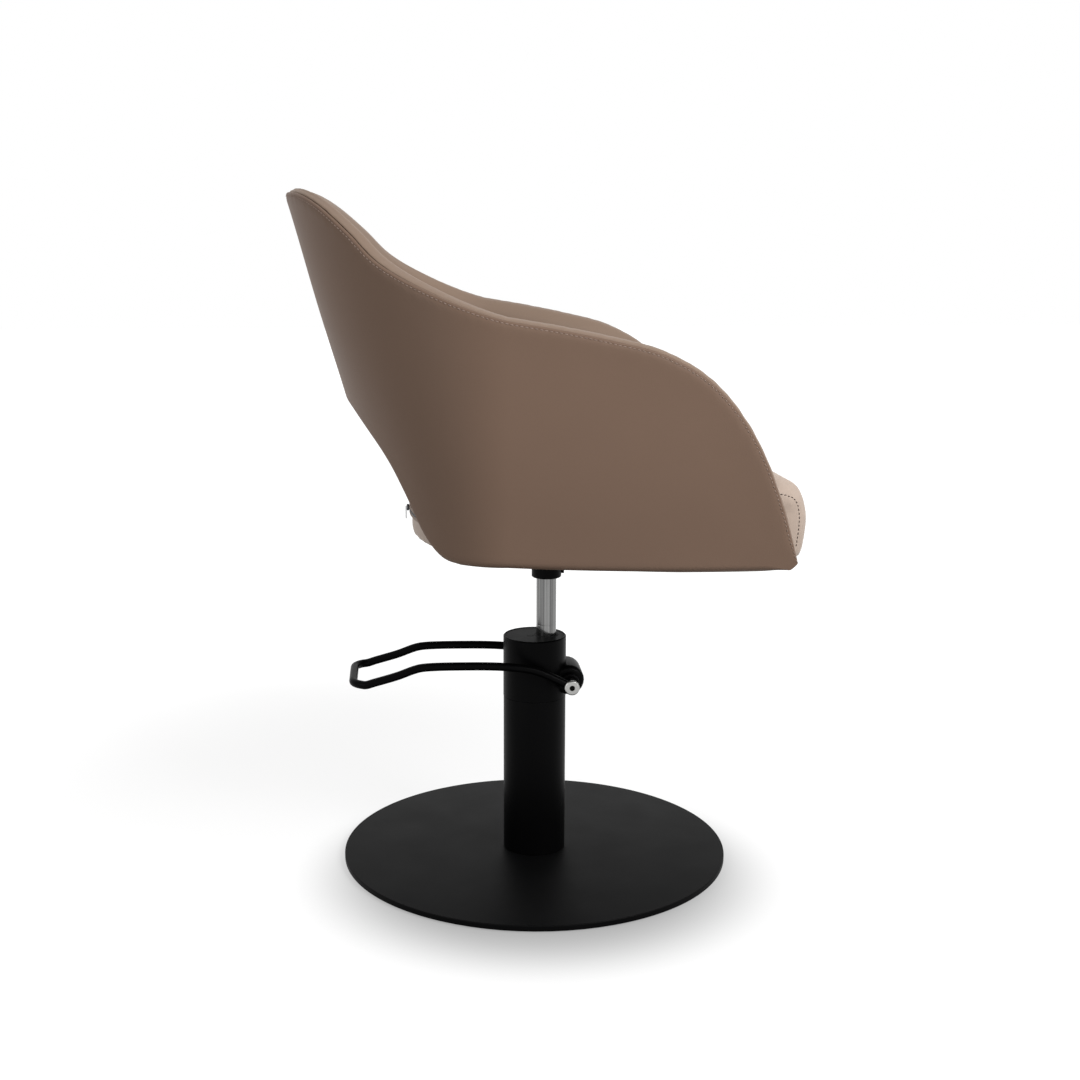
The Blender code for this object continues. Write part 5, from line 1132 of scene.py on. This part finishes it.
# %% Zip
def rounded_block(low, high, squareness=0.32, steps=28):
    """Superellipsoid in a box: cosines and sines raised to a small power make flat sides and round edges."""
    low, high = np.asarray(low), np.asarray(high)
    lift = np.linspace(-math.pi / 2, math.pi / 2, steps)[:, None]
    turn = np.linspace(0.0, 2 * math.pi, 2 * steps, endpoint=False)

    def power(value):
        """A value's size raised to the squareness, with its sign kept."""
        return np.sign(value) * np.abs(value) ** squareness

    unit = np.stack([power(np.cos(lift)) * power(np.cos(turn)), power(np.cos(lift)) * power(np.sin(turn)),
                     power(np.sin(lift)) * np.ones_like(turn)], -1)
    return (low + high) / 2 + unit * (high - low) / 2


low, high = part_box("cushion_zip")
zip_z = (low.z + high.z) / 2
half_h = (high.z - low.z) / 2
ZIP_R, TAPE_OUT, TEETH = 0.3279, 0.0013, 124
ZIP_X = low.x + ZIP_R + TAPE_OUT
reach = math.asin(high.y / (ZIP_R + 0.0008))
zip_angle = math.pi + np.linspace(-reach, reach, 121)[:, None]
tape_half = [(0.0003, half_h), (0.0012, half_h), (TAPE_OUT, 0.0014), (0.0010, 0.0003)]
tape_section = np.array([(out, -up) for out, up in tape_half] + tape_half[::-1])
tape_r, tape_z = ZIP_R + tape_section[:, 0], zip_z + tape_section[:, 1]
tape = np.stack([ZIP_X + tape_r * np.cos(zip_angle), tape_r * np.sin(zip_angle),
                 tape_z * np.ones_like(zip_angle)], -1)
tape_ends = [np.broadcast_to(ring.mean(0), (1,) + ring.shape) for ring in (tape[0], tape[-1])]
tape = np.concatenate([tape_ends[0], tape, tape_ends[1]])
put_rings("zip_tapes", tape, ZIP_TAPE, "seat", ["cushion_zip"], None, 40.0)

tooth_angle = math.pi + np.linspace(-reach * 0.97, reach * 0.97, TEETH)
tooth = rounded_block((-0.0002, -0.00055, -0.0012), (0.0006, 0.00055, 0.0012), 0.5, 5)
offset = np.where(np.arange(TEETH) % 2 == 0, 0.0006, -0.0006)[:, None, None]
out_way, along_way = tooth[None, ..., 0] + ZIP_R + 0.0011, tooth[None, ..., 1]
c, s = np.cos(tooth_angle)[:, None, None], np.sin(tooth_angle)[:, None, None]
teeth = np.stack([ZIP_X + out_way * c - along_way * s, out_way * s + along_way * c,
                  zip_z + offset + tooth[None, ..., 2]], -1)
tooth_quads = grid_quads(*tooth.shape[:2], False, True)
put_piece("zip_teeth", teeth, repeated(tooth_quads, TEETH), ZIP_METAL, "seat", (), "zip_metal")

for name, node, squareness in (("zip_slider_body", "zip_slider", 0.38), ("zip_tab", "zip_pull", 0.30)):
    put_rings(name, rounded_block(*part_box(node), squareness), ZIP_METAL, "zip", [node])
print("zip:", round(2000 * reach * ZIP_R), "mm long with", len(tooth_angle), "teeth")

# %% [markdown]
# ## Thread on the cushion
# The foam has moved the vinyl, so the seam line is laid on the swollen surface first: each of its points goes
# to the nearest place there, and takes that place's normal.

# %% Cushion's stitches
tree = BVHTree.FromObject(cushion, bpy.context.evaluated_depsgraph_get())
hits = [tree.find_nearest(point) for point in seat_seam.tolist()]
seam_spots = np.array([hit[0] for hit in hits])
seam_facing = np.array([hit[1] for hit in hits])
seat_thread = stitches("seat_stitches", seam_spots, seam_facing, SEAT_THREAD, "seat", "seat_vinyl",
                       pitch=0.0052, length=0.0042, thread_r=0.0006)
print("cushion stitches:", len(seat_thread.data.polygons) // len(BEAD_QUADS))

# %% [markdown]
# ## Dust cover
# Under the board a thin black cloth is stapled, with a window for the seat plate. It is stretched, so it only
# sags by a few millimetres between its two edges. Rows of points run from the window to the outline.


# %% Dust cover
def ray_outline(corners, angle):
    """Points of a closed outline at given angles round the rod, from corners joined by straight lines."""
    loop = np.vstack([corners, corners[:1]])
    dense = along_curve(loop, np.linspace(0.0, lengths(loop)[-1], 4000, endpoint=False))
    turn = np.mod(np.arctan2(dense[:, 1], dense[:, 0] - RAM_X), 2 * math.pi)
    order = np.argsort(turn)
    return np.stack([np.interp(angle, turn[order], dense[order, k], period=2 * math.pi) for k in (0, 1)], -1)


RAYS, ROWS, MARGIN = 240, 22, 0.006
CLOTH_IN, SAG_SHARE, SAG_MOST = 0.0256, 0.030, 0.004
WINDOW_R, WINDOW_HALF = 0.018, 0.0858
low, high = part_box("dust_cover")
side_runs = np.linspace(-0.02, -front_run, 400)
side_face = tub_point(side_runs, np.full_like(side_runs, BOARD_Z), np.full_like(side_runs, CLOTH_IN))
side_x = np.linspace(low.x, NOTCH_X - MARGIN, 14)
side_y = np.interp(side_x, side_face[:, 0], side_face[:, 1])
tongue = SEAT_HALF_W - SEAT_CORNER - 0.011 - MARGIN
near_line = np.vstack([np.stack([side_x, side_y], -1), [(NOTCH_X - MARGIN, -tongue), (high.x, -tongue)]])
cover_line = np.vstack([near_line, near_line[::-1] * (1, -1)])
quarter = np.linspace(0.0, math.pi / 2, 9)
window_reach = WINDOW_HALF - WINDOW_R
arcs = [np.stack([RAM_X + sx * window_reach + WINDOW_R * np.cos(quarter + k * math.pi / 2),
                  sy * window_reach + WINDOW_R * np.sin(quarter + k * math.pi / 2)], -1)
        for k, (sx, sy) in enumerate(((1, 1), (-1, 1), (-1, -1), (1, -1)))]
ray_angle = np.linspace(0.0, 2 * math.pi, RAYS, endpoint=False)
window_edge, outer_edge = ray_outline(np.vstack(arcs), ray_angle), ray_outline(cover_line, ray_angle)
share = np.linspace(0.0, 1.0, ROWS)[:, None, None]
flat_cloth = window_edge + (outer_edge - window_edge) * share
span = np.linalg.norm(outer_edge - window_edge, axis=1)
sag = SAG_SHARE * span * np.sin(math.pi * share[..., 0]) * (0.8 + 0.2 * np.sin(ray_angle * 7.0 + 0.6))
cloth_z = (low.z + high.z) / 2 - np.minimum(sag, SAG_MOST)
cloth_points = np.concatenate([flat_cloth, cloth_z[..., None]], -1)
dust = put_rings("dust_sheet", cloth_points, DUST_CLOTH, "seat", ["dust_cover"])
